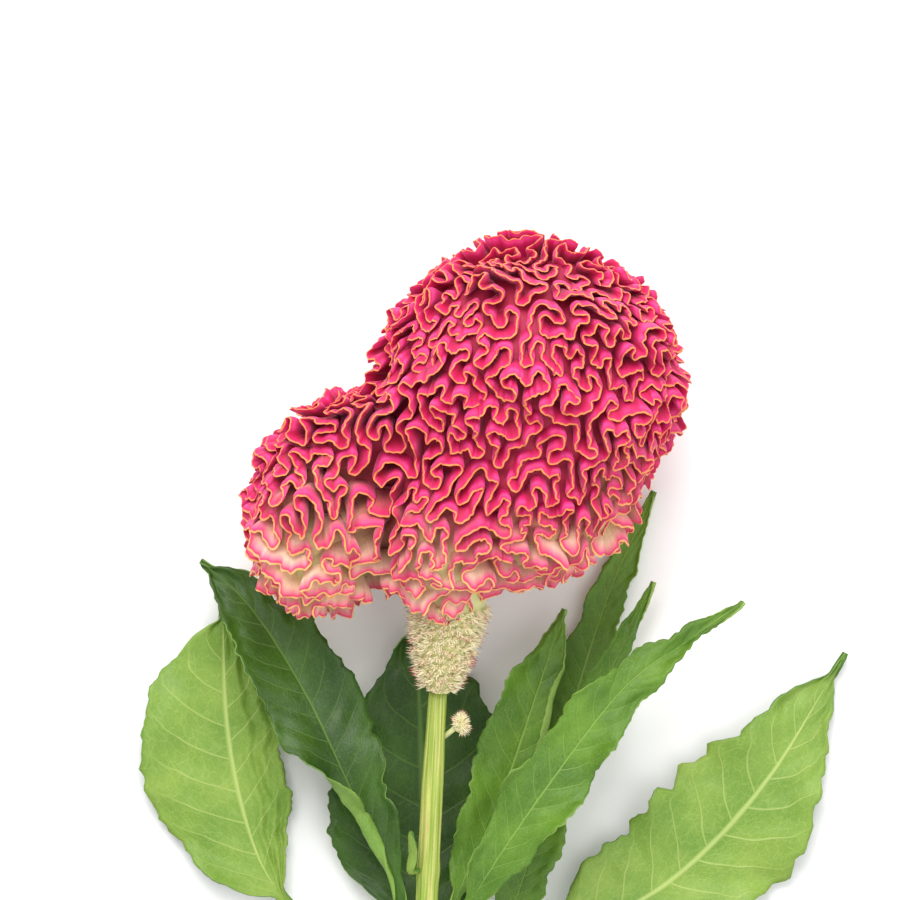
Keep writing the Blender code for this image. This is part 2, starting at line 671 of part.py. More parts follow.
def build_side_bud(parts, scratch):
    """Build the small tuft of florets on a short stalk beside the stem."""
    draw = random.Random(23)
    middle = Vector(BUD_MIDDLE) * MM
    reach = stem_radius(BUD_JOINT) + SEAT_GAP + BUD_STALK_RADIUS
    foot = stem_axis(BUD_JOINT) + Vector((reach, 0.0, 0.0))
    aim = middle - foot
    bpy.ops.mesh.primitive_ico_sphere_add(subdivisions=2, radius=1.0)
    bud = take_active("side_bud", parts)
    bud.data.transform(Matrix.Diagonal((*(Vector(BUD_RADII) * MM), 1.0)))
    bud.data.transform(Matrix.Translation(middle))
    length = (middle - foot).length
    bpy.ops.mesh.primitive_cylinder_add(vertices=8, radius=BUD_STALK_RADIUS, depth=length)
    stalk = take_active("bud_stalk", scratch)
    turn = aim.to_track_quat("Z", "Y").to_matrix().to_4x4()
    stalk.data.transform(Matrix.Translation((middle + foot) / 2.0) @ turn)
    for number in range(BUD_FLORETS):
        height = 1.0 - 1.5 * (number + 0.5) / BUD_FLORETS
        flat = math.sqrt(1.0 - height ** 2)
        angle = number * GOLDEN_ANGLE
        ray = Vector((flat * math.cos(angle), flat * math.sin(angle), height))
        ray = turn @ ray
        spot = middle + Vector([a * b * MM for a, b in zip(ray, BUD_RADII)])
        bpy.ops.mesh.primitive_cone_add(vertices=3, radius1=BUD_FLORET_RADIUS, radius2=0.0,
                                        depth=BUD_FLORET_LENGTH, end_fill_type="NGON")
        floret = take_active(f"bud_floret_{number}", scratch)
        tip = ray + Vector([draw.uniform(-0.3, 0.3) for _ in range(3)])
        floret.data.transform(Matrix.Translation((0.0, 0.0, BUD_FLORET_LENGTH * 0.23)))
        floret.data.transform(tip.to_track_quat("Z", "Y").to_matrix().to_4x4())
        floret.data.transform(Matrix.Translation(spot))
    unite(bud, scratch)
    keep_largest_body(bud)
    bud.data.transform(TO_ROW)
    dress(bud, finish_material("side_bud", (0.75, 0.62, 0.45), 0.8))


def smooth_route(knots, shares):
    """Return the points at shares of the length of a smooth curve through the knots."""
    ends = [knots[0] * 2.0 - knots[1], *knots, knots[-1] * 2.0 - knots[-2]]
    points = []
    for a, b, c, d in zip(ends, ends[1:], ends[2:], ends[3:]):
        for step in range(24):
            t = step / 24.0
            points.append(0.5 * (2.0 * b + (c - a) * t + (2.0 * a - 5.0 * b + 4.0 * c - d) * t ** 2
                                 + (3.0 * b - a - 3.0 * c + d) * t ** 3))
    points.append(knots[-1])
    points = np.array(points)
    travelled = np.r_[0.0, np.cumsum(np.linalg.norm(np.diff(points, axis=0), axis=1))]
    wanted = np.asarray(shares) * travelled[-1]
    return np.stack([np.interp(wanted, travelled, points[:, axis]) for axis in range(3)], axis=1)


def leaf_root(leaf):
    """Return where a leaf stalk starts on the stem and the way it leaves, in the row frame."""
    distance = leaf["joint"] * MM
    angle = math.radians(leaf["leaves_at"])
    outward = Vector((math.cos(angle), 0.0, math.sin(angle)))
    start = stem_radius(distance) + JOINT_SWELLING + SEAT_GAP + LEAF_ROOT_ROOM
    root = TO_ROW @ (stem_axis(distance) + outward * start)
    ahead = TO_ROW @ (stem_axis(distance - 1.0 * MM) + outward * (start + LEAF_FIRST_ROW))
    return np.array(root), np.array(ahead)


def leaf_half_width(leaf, share):
    """Return the blade's half width at a share of the leaf's length."""
    blade = max(0.0, (share - leaf["stalk"]) / (1.0 - leaf["stalk"]))
    full = blade ** LEAF_RISE * (1.0 - blade) ** LEAF_FALL / LEAF_PROFILE_PEAK
    return (max(LEAF_STALK_HALF_WIDTH * (1.0 - blade) ** 2, LEAF_TIP_HALF_WIDTH)
            + leaf["half_width"] * MM * full)


def leaf_grid(leaf):
    """Return how many rows and columns of faces a leaf of this size is made of."""
    if leaf["half_width"] > LARGE_LEAF_HALF_WIDTH:
        return 15, 4
    if leaf["half_width"] > SMALL_LEAF_HALF_WIDTH:
        return 12, 4
    return 6, 2


def build_leaf(name, leaf, parts):
    """Build one leaf: a waved blade, thick at its midrib, on a stalk from the stem."""
    rows, columns = leaf_grid(leaf)
    root, ahead = leaf_root(leaf)
    neck = np.array((-REST_SPOT[0], -REST_SPOT[1], 0.0))
    knots = [root, ahead] + [neck + np.array(knot) * MM for knot in leaf["route"]]
    first_row = LEAF_FIRST_ROW / sum(np.linalg.norm(b - a) for a, b in zip(knots, knots[1:]))
    shares = [0.0, *np.linspace(first_row, 1.0, rows)]
    midrib = smooth_route(knots, shares)
    along = unit(np.gradient(midrib, axis=0))
    bpy.ops.mesh.primitive_grid_add(x_subdivisions=columns, y_subdivisions=rows)
    blade = take_active(name, parts)
    points = read_points(blade)
    placed = np.empty_like(points)
    weights = []
    for index, (x, y, _) in enumerate(points):
        row = int(round((y + 1.0) / 2.0 * rows))
        share = shares[row]
        side = np.cross(along[row], (0.0, 0.0, 1.0))
        side /= np.linalg.norm(side)
        face = np.cross(side, along[row])
        twist = min(1.0, share / LEAF_TURN_SHARE)
        roll = math.radians(leaf["roll"][0] * (1.0 - twist) ** 2 + leaf["roll"][1] * twist)
        across = side * math.cos(roll) + face * math.sin(roll)
        face = face * math.cos(roll) - side * math.sin(roll)
        lift = math.radians(leaf["fold"]) * twist
        half_width = leaf_half_width(leaf, share)
        phase = math.tau * leaf["waves"] * share + (1.3 if x > 0.0 else 0.0)
        wave = leaf["wave"] * MM * abs(x) ** 2 * math.sin(phase) * math.sin(math.pi * share) ** 0.5
        rise = abs(x) * half_width * math.sin(lift) + wave
        placed[index] = midrib[row] + across * x * half_width * math.cos(lift) + face * rise
        weights.append(1.0 - abs(x) ** 0.6)
    write_points(blade, placed)
    rib = blade.vertex_groups.new(name="rib")
    for index, weight in enumerate(weights):
        rib.add([index], weight, "REPLACE")
    triangles = blade.modifiers.new("triangles", "TRIANGULATE")
    triangles.quad_method = "FIXED"
    thick = blade.modifiers.new("thickness", "SOLIDIFY")
    thick.thickness = LEAF_RIB_THICKNESS
    thick.offset = 0.0
    thick.vertex_group = "rib"
    thick.thickness_vertex_group = LEAF_EDGE_THICKNESS / LEAF_RIB_THICKNESS
    dress(blade, finish_material(name, leaf["colour"], 0.55))


def main():
    """Build the flower."""
    clear_scene()
    parts = make_collection("cockscomb_celosia")
    cutters = make_collection("cutters")
    scratch = make_collection("florets_to_fuse")
    build_comb(parts, cutters, scratch)
    build_collar(parts, scratch)
    build_side_bud(parts, scratch)
    bpy.data.collections.remove(scratch)
    build_stem(parts, [leaf["joint"] * MM for leaf in LEAVES.values()])
    for name, leaf in LEAVES.items():
        build_leaf(name, leaf, parts)


main()
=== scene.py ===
"""A cut cockscomb celosia on a pale surface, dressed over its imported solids.

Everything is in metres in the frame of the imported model: the flower lies on its back
along Y, with +Z up, and the origin is the flat spot that the comb rests on. The flower
itself is drawn in the head frame, whose origin is the neck, where the stalk meets the
bristly collar, with +Y up the stalk and +Z away from the surface. TO_ROW carries one
frame into the other.
"""

import json
import logging
import math
import random
from dataclasses import dataclass, field
from enum import Enum

import bpy
import numpy as np
from mathutils import Matrix, Vector

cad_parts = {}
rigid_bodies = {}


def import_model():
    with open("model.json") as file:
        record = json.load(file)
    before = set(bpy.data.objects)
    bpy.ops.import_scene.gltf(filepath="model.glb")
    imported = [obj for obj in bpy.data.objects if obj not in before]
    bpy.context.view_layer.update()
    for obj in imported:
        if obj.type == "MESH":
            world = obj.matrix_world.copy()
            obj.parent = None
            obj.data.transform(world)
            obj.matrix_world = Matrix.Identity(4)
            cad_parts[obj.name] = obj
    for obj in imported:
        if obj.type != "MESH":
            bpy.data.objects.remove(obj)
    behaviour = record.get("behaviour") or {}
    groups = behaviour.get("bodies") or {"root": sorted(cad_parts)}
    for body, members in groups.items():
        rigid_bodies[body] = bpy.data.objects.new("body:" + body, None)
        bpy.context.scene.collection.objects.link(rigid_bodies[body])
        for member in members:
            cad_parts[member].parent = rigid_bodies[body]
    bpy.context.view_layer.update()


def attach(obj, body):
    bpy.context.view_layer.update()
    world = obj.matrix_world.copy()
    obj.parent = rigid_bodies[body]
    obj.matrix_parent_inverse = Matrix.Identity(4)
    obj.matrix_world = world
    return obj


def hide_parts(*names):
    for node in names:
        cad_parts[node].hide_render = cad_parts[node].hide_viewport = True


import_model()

logging.basicConfig(level=logging.INFO, format="%(message)s")
LOG = logging.getLogger("celosia")

MM = 0.001
TINY = 1e-9
GOLDEN_ANGLE = math.pi * (3.0 - math.sqrt(5.0))
Rgb = tuple[float, float, float]
Knot = tuple[float, float, float]

# The head frame's place in the row frame
NECK_HEIGHT = 32.3 * MM
REST_SPOT = (19.0 * MM, 90.0 * MM)
STEM_LENGTH = 246.8 * MM
STEM_FOOT_RADIUS = 4.2 * MM
FOOT_UNDER_AXIS = 0.996
TILT = math.asin((NECK_HEIGHT - STEM_FOOT_RADIUS * FOOT_UNDER_AXIS) / STEM_LENGTH)
TO_ROW = (Matrix.Translation((-REST_SPOT[0], -REST_SPOT[1], NECK_HEIGHT))
          @ Matrix.Rotation(TILT, 4, "X"))

# The stem's sideways sway, and the share of its length in which it widens fast
STEM_SWAY = 11.9 * MM
STEM_UPPER = 0.1216

# How a side vein runs: its slant, how that grows outward, and each side's shift, all in
# units of the veins' spacing
VEIN_SLANT = 1.15
VEIN_SWEEP = 0.6
VEIN_SHIFT = 0.22


class Tone(Enum):
    """The greens that the leaves come in; on the leaf under the comb the dark green is partly
    painted shade.
    """

    DARK = "dark"
    MID = "mid"
    PALE = "pale"


def srgb(red: int, green: int, blue: int) -> Rgb:
    """Return a colour given in 0 to 255 as linear light."""
    shares = [channel / 255.0 for channel in (red, green, blue)]
    return tuple(c / 12.92 if c <= 0.04045 else ((c + 0.055) / 1.055) ** 2.4 for c in shares)


def deselect_all() -> None:
    """Deselect every object, so that an operator acts on the new one alone."""
    for item in bpy.context.view_layer.objects:
        item.select_set(False)
    bpy.context.view_layer.objects.active = None


def read_points(item: bpy.types.Object) -> np.ndarray:
    """Read where an object's vertices are.

    Args:
        item: The object.

    Returns:
        Their places in its mesh, one a row.
    """
    points = np.empty(len(item.data.vertices) * 3)
    item.data.vertices.foreach_get("co", points)
    return points.reshape(-1, 3)


def write_points(item: bpy.types.Object, points: np.ndarray) -> None:
    """Move the object's vertices to new places."""
    item.data.vertices.foreach_set("co", np.asarray(points, dtype=float).ravel())
    item.data.update()


def make_active(item: bpy.types.Object) -> None:
    """Select one object alone and make it the active one."""
    deselect_all()
    item.select_set(True)
    bpy.context.view_layer.objects.active = item


def settle(item: bpy.types.Object) -> None:
    """Put the object's own place, turn and size into its mesh."""
    make_active(item)
    bpy.ops.object.transform_apply(location=True, rotation=True, scale=True)


def apply_modifiers(item: bpy.types.Object) -> None:
    """Apply the object's modifiers from the first to the last."""
    make_active(item)
    for modifier in list(item.modifiers):
        bpy.ops.object.modifier_apply(modifier=modifier.name)


def join(items: list[bpy.types.Object], name: str) -> bpy.types.Object:
    """Join objects into the first of them.

    Args:
        items: The objects to join.
        name: The name of the joined object.

    Returns:
        The joined object.
    """
    make_active(items[0])
    for item in items:
        item.select_set(True)
    bpy.ops.object.join()
    items[0].name = name
    items[0].data.name = name
    return items[0]


def hand_in(piece: bpy.types.Object, node: str) -> None:
    """Put a finished piece on the root body and hide the CAD node that it stands for.

    Args:
        piece: The finished piece.
        node: The CAD node that the piece stands for.
    """
    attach(piece, "root")
    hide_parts(node)
    LOG.info("%s: %d faces", piece.name, len(piece.data.polygons))


def carry(matrix: Matrix, points: np.ndarray) -> np.ndarray:
    """Return points moved by a matrix."""
    return points @ np.array(matrix.to_3x3()).T + np.array(matrix.translation)


def unit(vectors: np.ndarray) -> np.ndarray:
    """Return vectors of length one."""
    return vectors / (np.linalg.norm(vectors, axis=-1, keepdims=True) + 1e-12)


def ripple(points: np.ndarray, wavelength: float, seed: int, waves: int = 7) -> np.ndarray:
    """Return a smooth random field, about -1 to 1, at points in space.

    Args:
        points: The places, one a row.
        wavelength: The typical distance from crest to crest.
        seed: The field's own seed.
        waves: How many plane waves it is the sum of.

    Returns:
        One value for each point.
    """
    draw = np.random.default_rng(seed)
    total = np.zeros(len(points))
    for _ in range(waves):
        way = draw.normal(size=3)
        way *= math.tau / wavelength * draw.uniform(0.7, 1.3) / np.linalg.norm(way)
        total += np.cos(points @ way + draw.uniform(0.0, math.tau))
    return total / math.sqrt(waves)


def smoothstep(low: float, high: float, values: np.ndarray) -> np.ndarray:
    """Return 0 below low, 1 above high and an eased ramp between."""
    share = np.clip((values - low) / (high - low), 0.0, 1.0)
    return share * share * (3.0 - 2.0 * share)


def lay_map(skin: bpy.types.Object, name: str, along: np.ndarray, across: np.ndarray) -> None:
    """Name the map of a grid of squares and set its values.

    Args:
        skin: The grid.
        name: The map's name.
        along: The U of each of a row's points.
        across: The V of each row.
    """
    corners = np.empty(len(skin.data.loops), dtype=np.int64)
    skin.data.loops.foreach_get("vertex_index", corners)
    place = np.stack([along[corners % len(along)], across[corners // len(along)]], axis=1)
    skin.data.uv_layers[0].name = name
    skin.data.uv_layers[0].data.foreach_set("uv", place.ravel())


def loft(name: str, rings: np.ndarray, map_name: str, across: np.ndarray,
         along: np.ndarray, crown: np.ndarray | None = None) -> bpy.types.Object:
    """Build a closed skin over a row of closed rings, from a grid of squares.

    Args:
        name: The object's name.
        rings: The rings' points in metres, one ring a row. A last ring that repeats the
            first one closes the row, and a ring of one point closes an end.
        map_name: The name of the map that carries the two values below.
        across: One value for each ring.
        along: One value for each point of a ring and one for the point that closes it.
        crown: Optionally one value for each point, kept as the attribute of that name.

    Returns:
        The skin.
    """
    count, sides = rings.shape[:2]
    deselect_all()
    bpy.ops.mesh.primitive_grid_add(x_subdivisions=sides, y_subdivisions=count - 1)
    skin = bpy.context.object
    skin.name = name
    write_points(skin, np.concatenate([rings, rings[:, :1]], axis=1).reshape(-1, 3))
    lay_map(skin, map_name, along, across)
    if crown is not None:
        shade = skin.data.attributes.new("crown", "FLOAT", "POINT")
        shade.data.foreach_set("value", np.concatenate([crown, crown[:, :1]], axis=1).ravel())
    bpy.ops.object.mode_set(mode="EDIT")
    bpy.ops.mesh.select_all(action="SELECT")
    bpy.ops.mesh.remove_doubles(threshold=0.001 * MM)
    bpy.ops.mesh.normals_make_consistent(inside=False)
    bpy.ops.object.mode_set(mode="OBJECT")
    return skin


class Nodes:
    """A short way to write shader nodes and the links between them."""

    def __init__(self, tree: bpy.types.NodeTree) -> None:
        """Keep the tree that the nodes go into."""
        self.tree = tree

    def add(self, kind: str, settings: dict | None = None, **inputs: object) -> bpy.types.Node:
        """Add a node.

        Args:
            kind: The node's type without its ShaderNode prefix.
            settings: Values of the node's own properties.
            inputs: Values or output sockets for its inputs, by name, with _ for a space.

        Returns:
            The new node.
        """
        node = self.tree.nodes.new("ShaderNode" + kind)
        for name, value in (settings or {}).items():
            setattr(node, name, value)
        for name, value in inputs.items():
            self.feed(node, name.replace("_", " "), value)
        return node

    def feed(self, node: bpy.types.Node, name: str | int, value: object) -> None:
        """Set an input socket, or link it where the value is an output socket.

        Args:
            node: The node that owns the input.
            name: The input's name or number.
            value: The value or output socket.
        """
        socket = node.inputs[name]
        if isinstance(value, bpy.types.NodeSocket):
            self.tree.links.new(value, socket)
        else:
            socket.default_value = value

    def math(self, operation: str, *values: object) -> bpy.types.NodeSocket:
        """Add a Math node.

        Args:
            operation: What it works out.
            values: Its one to three values or output sockets.

        Returns:
            The node's output.
        """
        node = self.add("Math", {"operation": operation})
        for index, value in enumerate(values):
            self.feed(node, index, value)
        return node.outputs[0]

    def span(self, value: object, low: float, high: float, out_low: float = 0.0,
             out_high: float = 1.0) -> bpy.types.NodeSocket:
        """Map a value from the range low to high to another range, clamped."""
        return self.add("MapRange", None, Value=value, From_Min=low, From_Max=high,
                        To_Min=out_low, To_Max=out_high).outputs["Result"]

    def noise(self, place: object, detail: float, scale: object = 1.0,
              roughness: float = 0.5) -> bpy.types.NodeSocket:
        """Add a noise texture and return its value."""
        return self.add("TexNoise", None, Vector=place, Scale=scale, Detail=detail,
                        Roughness=roughness).outputs["Fac"]

    def place(self, x: object, y: object = 0.0) -> bpy.types.NodeSocket:
        """Return a place made of two values."""
        return self.add("CombineXYZ", None, X=x, Y=y).outputs["Vector"]

    def attribute(self, name: str) -> bpy.types.NodeSocket:
        """Return the value of a mesh attribute."""
        return self.add("Attribute", {"attribute_name": name}).outputs["Fac"]

    def read_map(self, name: str) -> tuple[bpy.types.NodeSocket, bpy.types.NodeSocket]:
        """Return the two values of a map of the mesh.

        Args:
            name: The map's name.

        Returns:
            Its U and its V.
        """
        spot = self.add("UVMap", {"uv_map": name}).outputs["UV"]
        apart = self.add("SeparateXYZ", None, Vector=spot)
        return apart.outputs["X"], apart.outputs["Y"]

    def mix(self, share: object, first: object, second: object,
            blend: str = "MIX") -> bpy.types.NodeSocket:
        """Mix two colours.

        Args:
            share: How much of the second colour there is.
            first: The first colour or output socket.
            second: The second one.
            blend: How they are put together.

        Returns:
            The mixed colour's output.
        """
        node = self.add("Mix", {"data_type": "RGBA", "blend_type": blend})
        self.feed(node, 0, share)
        for index, colour in ((6, first), (7, second)):
            if isinstance(colour, tuple):
                colour = (*colour, 1.0)
            self.feed(node, index, colour)
        return node.outputs[2]

    def dim(self, colour: object, brightness: object) -> bpy.types.NodeSocket:
        """Return a colour multiplied by a brightness."""
        grey = self.add("CombineColor", None, Red=brightness, Green=brightness, Blue=brightness)
        return self.mix(1.0, colour, grey.outputs["Color"], "MULTIPLY")

    def ramp(self, value: object, stops: list[tuple[float, Rgb]]) -> bpy.types.NodeSocket:
        """Add a colour ramp.

        Args:
            value: The value that it reads.
            stops: Its places from 0 to 1 with their colours.

        Returns:
            Its colour output.
        """
        node = self.add("ValToRGB", None, Fac=value)
        band = node.color_ramp.elements
        while len(band) < len(stops):
            band.new(0.5)
        for element, (place, colour) in zip(band, stops):
            element.position = place
            element.color = (*colour, 1.0)
        return node.outputs["Color"]


def start_group(name: str, inputs: dict[str, float | None], outputs: tuple[str, ...]
                ) -> tuple[Nodes, bpy.types.Node, bpy.types.Node]:
    """Start a shared group of nodes.

    Args:
        name: The group's name.
        inputs: Its inputs with their usual values, or None for one that takes a place.
        outputs: The values that it puts out.

    Returns:
        A writer for its nodes, the node with its inputs and the node for its outputs.
    """
    tree = bpy.data.node_groups.new(name, "ShaderNodeTree")
    for label, value in inputs.items():
        kind = "NodeSocketVector" if value is None else "NodeSocketFloat"
        socket = tree.interface.new_socket(label, in_out="INPUT", socket_type=kind)
        if value is not None:
            socket.default_value = value
    for label in outputs:
        tree.interface.new_socket(label, in_out="OUTPUT", socket_type="NodeSocketFloat")
    return Nodes(tree), tree.nodes.new("NodeGroupInput"), tree.nodes.new("NodeGroupOutput")


def grain_group() -> bpy.types.NodeTree:
    """Return the shared group for mottled colour and fine relief.

    Its inputs are the place, the size of the mottles and of the grain, and how strongly
    the mottles vary.

    Returns:
        The group, which puts out a brightness near 1 and a height from 0 to 1.
    """
    found = bpy.data.node_groups.get("petal_grain")
    if found:
        return found
    usual = {"Place": None, "Mottle Scale": 60.0, "Grain Scale": 900.0, "Variation": 0.2}
    nodes, given, put = start_group("petal_grain", usual, ("Brightness", "Height"))
    mottle = nodes.noise(given.outputs["Place"], 3.0, given.outputs["Mottle Scale"])
    grain = nodes.noise(given.outputs["Place"], 2.0, given.outputs["Grain Scale"])
    both = nodes.math("MULTIPLY_ADD", grain, 0.5, mottle)
    swing = nodes.math("SUBTRACT", both, 0.75)
    bright = nodes.math("MULTIPLY_ADD", swing, given.outputs["Variation"], 1.0)
    nodes.feed(put, "Brightness", bright)
    nodes.feed(put, "Height", grain)
    return nodes.tree


def vein_group() -> bpy.types.NodeTree:
    """Return the shared group that draws a leaf's midrib, side veins and fine net.

    Its input is the leaf map, with U from 0 to 1 across the blade and V along it in
    units of the side veins' spacing.

    Returns:
        The group, which puts out a mask that is 1 on a vein.
    """
    found = bpy.data.node_groups.get("leaf_veins")
    if found:
        return found
    nodes, given, put = start_group("leaf_veins", {"Leaf Map": None}, ("Vein",))
    apart = nodes.add("SeparateXYZ", None, Vector=given.outputs["Leaf Map"])
    side = nodes.math("MULTIPLY_ADD", apart.outputs["X"], 2.0, -1.0)
    away = nodes.math("ABSOLUTE", side)
    bent = nodes.math("MULTIPLY", away, nodes.math("MULTIPLY_ADD", away, VEIN_SWEEP, VEIN_SLANT))
    shifted = nodes.math("MULTIPLY_ADD", nodes.math("SIGN", side), VEIN_SHIFT, apart.outputs["Y"])
    along = nodes.math("SUBTRACT", shifted, bent)
    wave = nodes.math("ABSOLUTE", nodes.math("SUBTRACT", nodes.math("FRACT", along), 0.5))
    branch = nodes.span(wave, 0.008, 0.05, 1.0, 0.0)
    branch = nodes.math("MULTIPLY", branch, nodes.span(away, 0.55, 1.0, 0.8, 0.1))
    midrib = nodes.span(away, 0.012, 0.05, 1.2, 0.0)
    net_place = nodes.place(nodes.math("MULTIPLY", side, 4.0), along)
    net = nodes.add("TexVoronoi", {"feature": "DISTANCE_TO_EDGE"}, Vector=net_place, Scale=2.6)
    fine = nodes.span(net.outputs["Distance"], 0.01, 0.08, 0.22, 0.0)
    strong = nodes.math("MAXIMUM", branch, midrib)
    nodes.feed(put, "Vein", nodes.math("MAXIMUM", strong, fine))
    return nodes.tree


class Surface(Nodes):
    """A new material, with the shared grain already among its nodes."""

    def __init__(self, name: str, mottle: float, grain: float, variation: float) -> None:
        """Start the material and place the grain in it, on Object coordinates.

        Args:
            name: The material's name.
            mottle: The scale of the mottles.
            grain: The scale of the grain.
            variation: How strongly the mottles vary.
        """
        self.material = bpy.data.materials.new(name)
        self.material.use_nodes = True
        super().__init__(self.material.node_tree)
        group = self.add("Group", {"node_tree": grain_group()},
                         Place=self.add("TexCoord").outputs["Object"],
                         Mottle_Scale=mottle, Grain_Scale=grain, Variation=variation)
        self.brightness = group.outputs["Brightness"]
        self.height = group.outputs["Height"]

    def finish(self, colour: object, height: object, relief: float, depth: float,
               **inputs: object) -> bpy.types.Material:
        """Feed the shader its colour, its relief and its other values.

        Args:
            colour: The base colour.
            height: The height of the relief, from 0 to about 1.
            relief: How strong the relief is, below zero where it is sunk.
            depth: The height of 1 in metres.
            inputs: Values for the shader's other inputs, by name, with _ for a space.

        Returns:
            The finished material.
        """
        shader = self.tree.nodes["Principled BSDF"]
        bump = self.add("Bump", {"invert": relief < 0.0}, Height=height, Strength=abs(relief),
                        Distance=depth)
        self.feed(shader, "Base Color", colour)
        self.feed(shader, "Normal", bump.outputs["Normal"])
        for name, value in inputs.items():
            self.feed(shader, name.replace("_", " "), value)
        return self.material


@dataclass(frozen=True)
class CombFinish:
    """Velvety crimson sheets with a thin orange rim, paler toward the stem. Below the rim they
    darken toward deep crimson, partly their own colour and partly painted shade in the hollows
    between them, and painted highlights keep their bulging flanks and the top of the dome a lighter
    pink.

    The rays run down from the rim. They make its lower edge ragged, and a slow drift
    along the rim makes it wider and narrower. Both are in units of the fold map.
    """

    rim: Rgb = srgb(230, 142, 76)
    gold: Rgb = srgb(238, 184, 112)
    hot: Rgb = srgb(212, 36, 100)
    # bright, red and deep darken the folds below the rim, partly the crimson's own colour and
    # partly painted shade in the hollows between the sheets.
    bright: Rgb = srgb(200, 18, 84)
    red: Rgb = srgb(174, 12, 62)
    deep: Rgb = srgb(132, 10, 48)
    # Painted highlight: lighter pinks for the bulging flanks and the top of the dome.
    painted_highlight_pink: Rgb = srgb(230, 70, 140)
    painted_highlight_rose: Rgb = srgb(216, 28, 106)
    blush: Rgb = srgb(238, 128, 148)
    cream: Rgb = srgb(244, 208, 180)
    lime: Rgb = srgb(214, 214, 150)
    sheen: Rgb = (1.0, 0.4, 0.56)
    ray_scale: tuple[float, float] = (26.0, 1.6)
    rag: float = 0.012
    drift_scale: float = 3.2
    drift: float = 0.036

    def make(self) -> bpy.types.Material:
        """Return the material of the folds.

        The fold map gives, along V, the depth below the rim and, along U, the way along the rim.
        The attribute pale says how far the fold is bleached, and crown how far it bulges toward its
        front flank, raised toward the top of the dome; where it is high the fold takes the painted
        highlight and where it is low the painted shade.

        Returns:
            The material.
        """
        nodes = Surface("comb_velvet", mottle=130.0, grain=2600.0, variation=0.5)
        along, depth = nodes.read_map("fold_map")
        rays = nodes.noise(nodes.place(nodes.math("MULTIPLY", along, self.ray_scale[0]),
                                       nodes.math("MULTIPLY", depth, self.ray_scale[1])),
                           3.0, roughness=0.65)
        slow = nodes.noise(nodes.place(nodes.math("MULTIPLY", along, self.drift_scale)), 2.0)
        ragged = nodes.math("MULTIPLY_ADD", nodes.math("SUBTRACT", rays, 0.5), self.rag, depth)
        ragged = nodes.math("MULTIPLY_ADD", nodes.math("SUBTRACT", slow, 0.5), self.drift, ragged)
        edge = [(0.0, self.rim), (0.006, self.rim), (0.016, self.hot)]
        # Painted shade together with the red's own deepening: the flank that does not bulge darkens
        # fast below the rim.
        painted_shade_side = nodes.ramp(ragged, [*edge, (0.06, self.bright), (0.15, self.red),
                                     (0.30, self.deep)])
        # Painted highlight: the bulging flank and the top of the dome stay lighter pink deeper
        # down.
        ridge = nodes.ramp(ragged, [*edge, (0.06, self.painted_highlight_pink), (0.15, self.painted_highlight_rose),
                                    (0.4, self.red)])
        # The attribute crown picks between the painted shade and the painted highlight.
        red_with_painted_light = nodes.mix(nodes.span(nodes.attribute("crown"), 0.35, 0.85), painted_shade_side, ridge)
        faded = nodes.ramp(ragged, [(0.0, self.gold), (0.009, self.gold), (0.022, self.hot),
                                    (0.07, self.blush), (0.17, self.cream), (0.7, self.lime)])
        colour = nodes.mix(nodes.attribute("pale"), red_with_painted_light, faded)
        shade = nodes.math("MULTIPLY", nodes.brightness, nodes.span(rays, 0.25, 0.75, 0.86, 1.12))
        height = nodes.math("MULTIPLY_ADD", nodes.height, 0.4, rays)
        return nodes.finish(nodes.dim(colour, shade), height, 0.5, 0.3 * MM, Roughness=0.62,
                            Sheen_Weight=0.45, Sheen_Roughness=0.4, Sheen_Tint=(*self.sheen, 1.0),
                            Specular_IOR_Level=0.3)


@dataclass(frozen=True)
class HeartFinish:
    """The inside of the comb between the folds: dark red above, cream near the stalk."""

    deep: Rgb = srgb(158, 18, 58)
    cream: Rgb = srgb(206, 200, 140)

    def make(self) -> bpy.types.Material:
        """Return the material of the comb's inner body."""
        nodes = Surface("comb_heart", mottle=90.0, grain=900.0, variation=0.5)
        colour = nodes.mix(nodes.attribute("pale"), self.deep, self.cream)
        return nodes.finish(nodes.dim(colour, nodes.brightness), nodes.height, 0.5, 0.4 * MM,
                            Roughness=0.7)


@dataclass(frozen=True)
class LeafFinish:
    """A leaf's skin on one of its sides, with paler veins in relief, sunk or raised."""

    name: str
    skin: Rgb
    shadow: Rgb
    vein: Rgb
    roughness: float
    vein_share: float
    relief: float

    def make(self) -> bpy.types.Material:
        """Return the material, which reads the leaf map: U across, V along the leaf.

        Returns:
            The material, made when it is first asked for.
        """
        found = bpy.data.materials.get(self.name)
        if found:
            return found
        nodes = Surface(self.name, mottle=55.0, grain=1500.0, variation=0.55)
        leaf = nodes.add("UVMap", {"uv_map": "leaf_map"}).outputs["UV"]
        vein = nodes.add("Group", {"node_tree": vein_group()}, Leaf_Map=leaf).outputs["Vein"]
        patch = nodes.span(nodes.brightness, 0.86, 1.14)
        colour = nodes.mix(patch, self.shadow, self.skin)
        colour = nodes.mix(nodes.math("MULTIPLY", vein, self.vein_share), colour, self.vein)
        height = nodes.math("MULTIPLY_ADD", nodes.height, 0.12, vein)
        return nodes.finish(colour, height, self.relief, 0.35 * MM, Roughness=self.roughness,
                            Specular_IOR_Level=0.35)


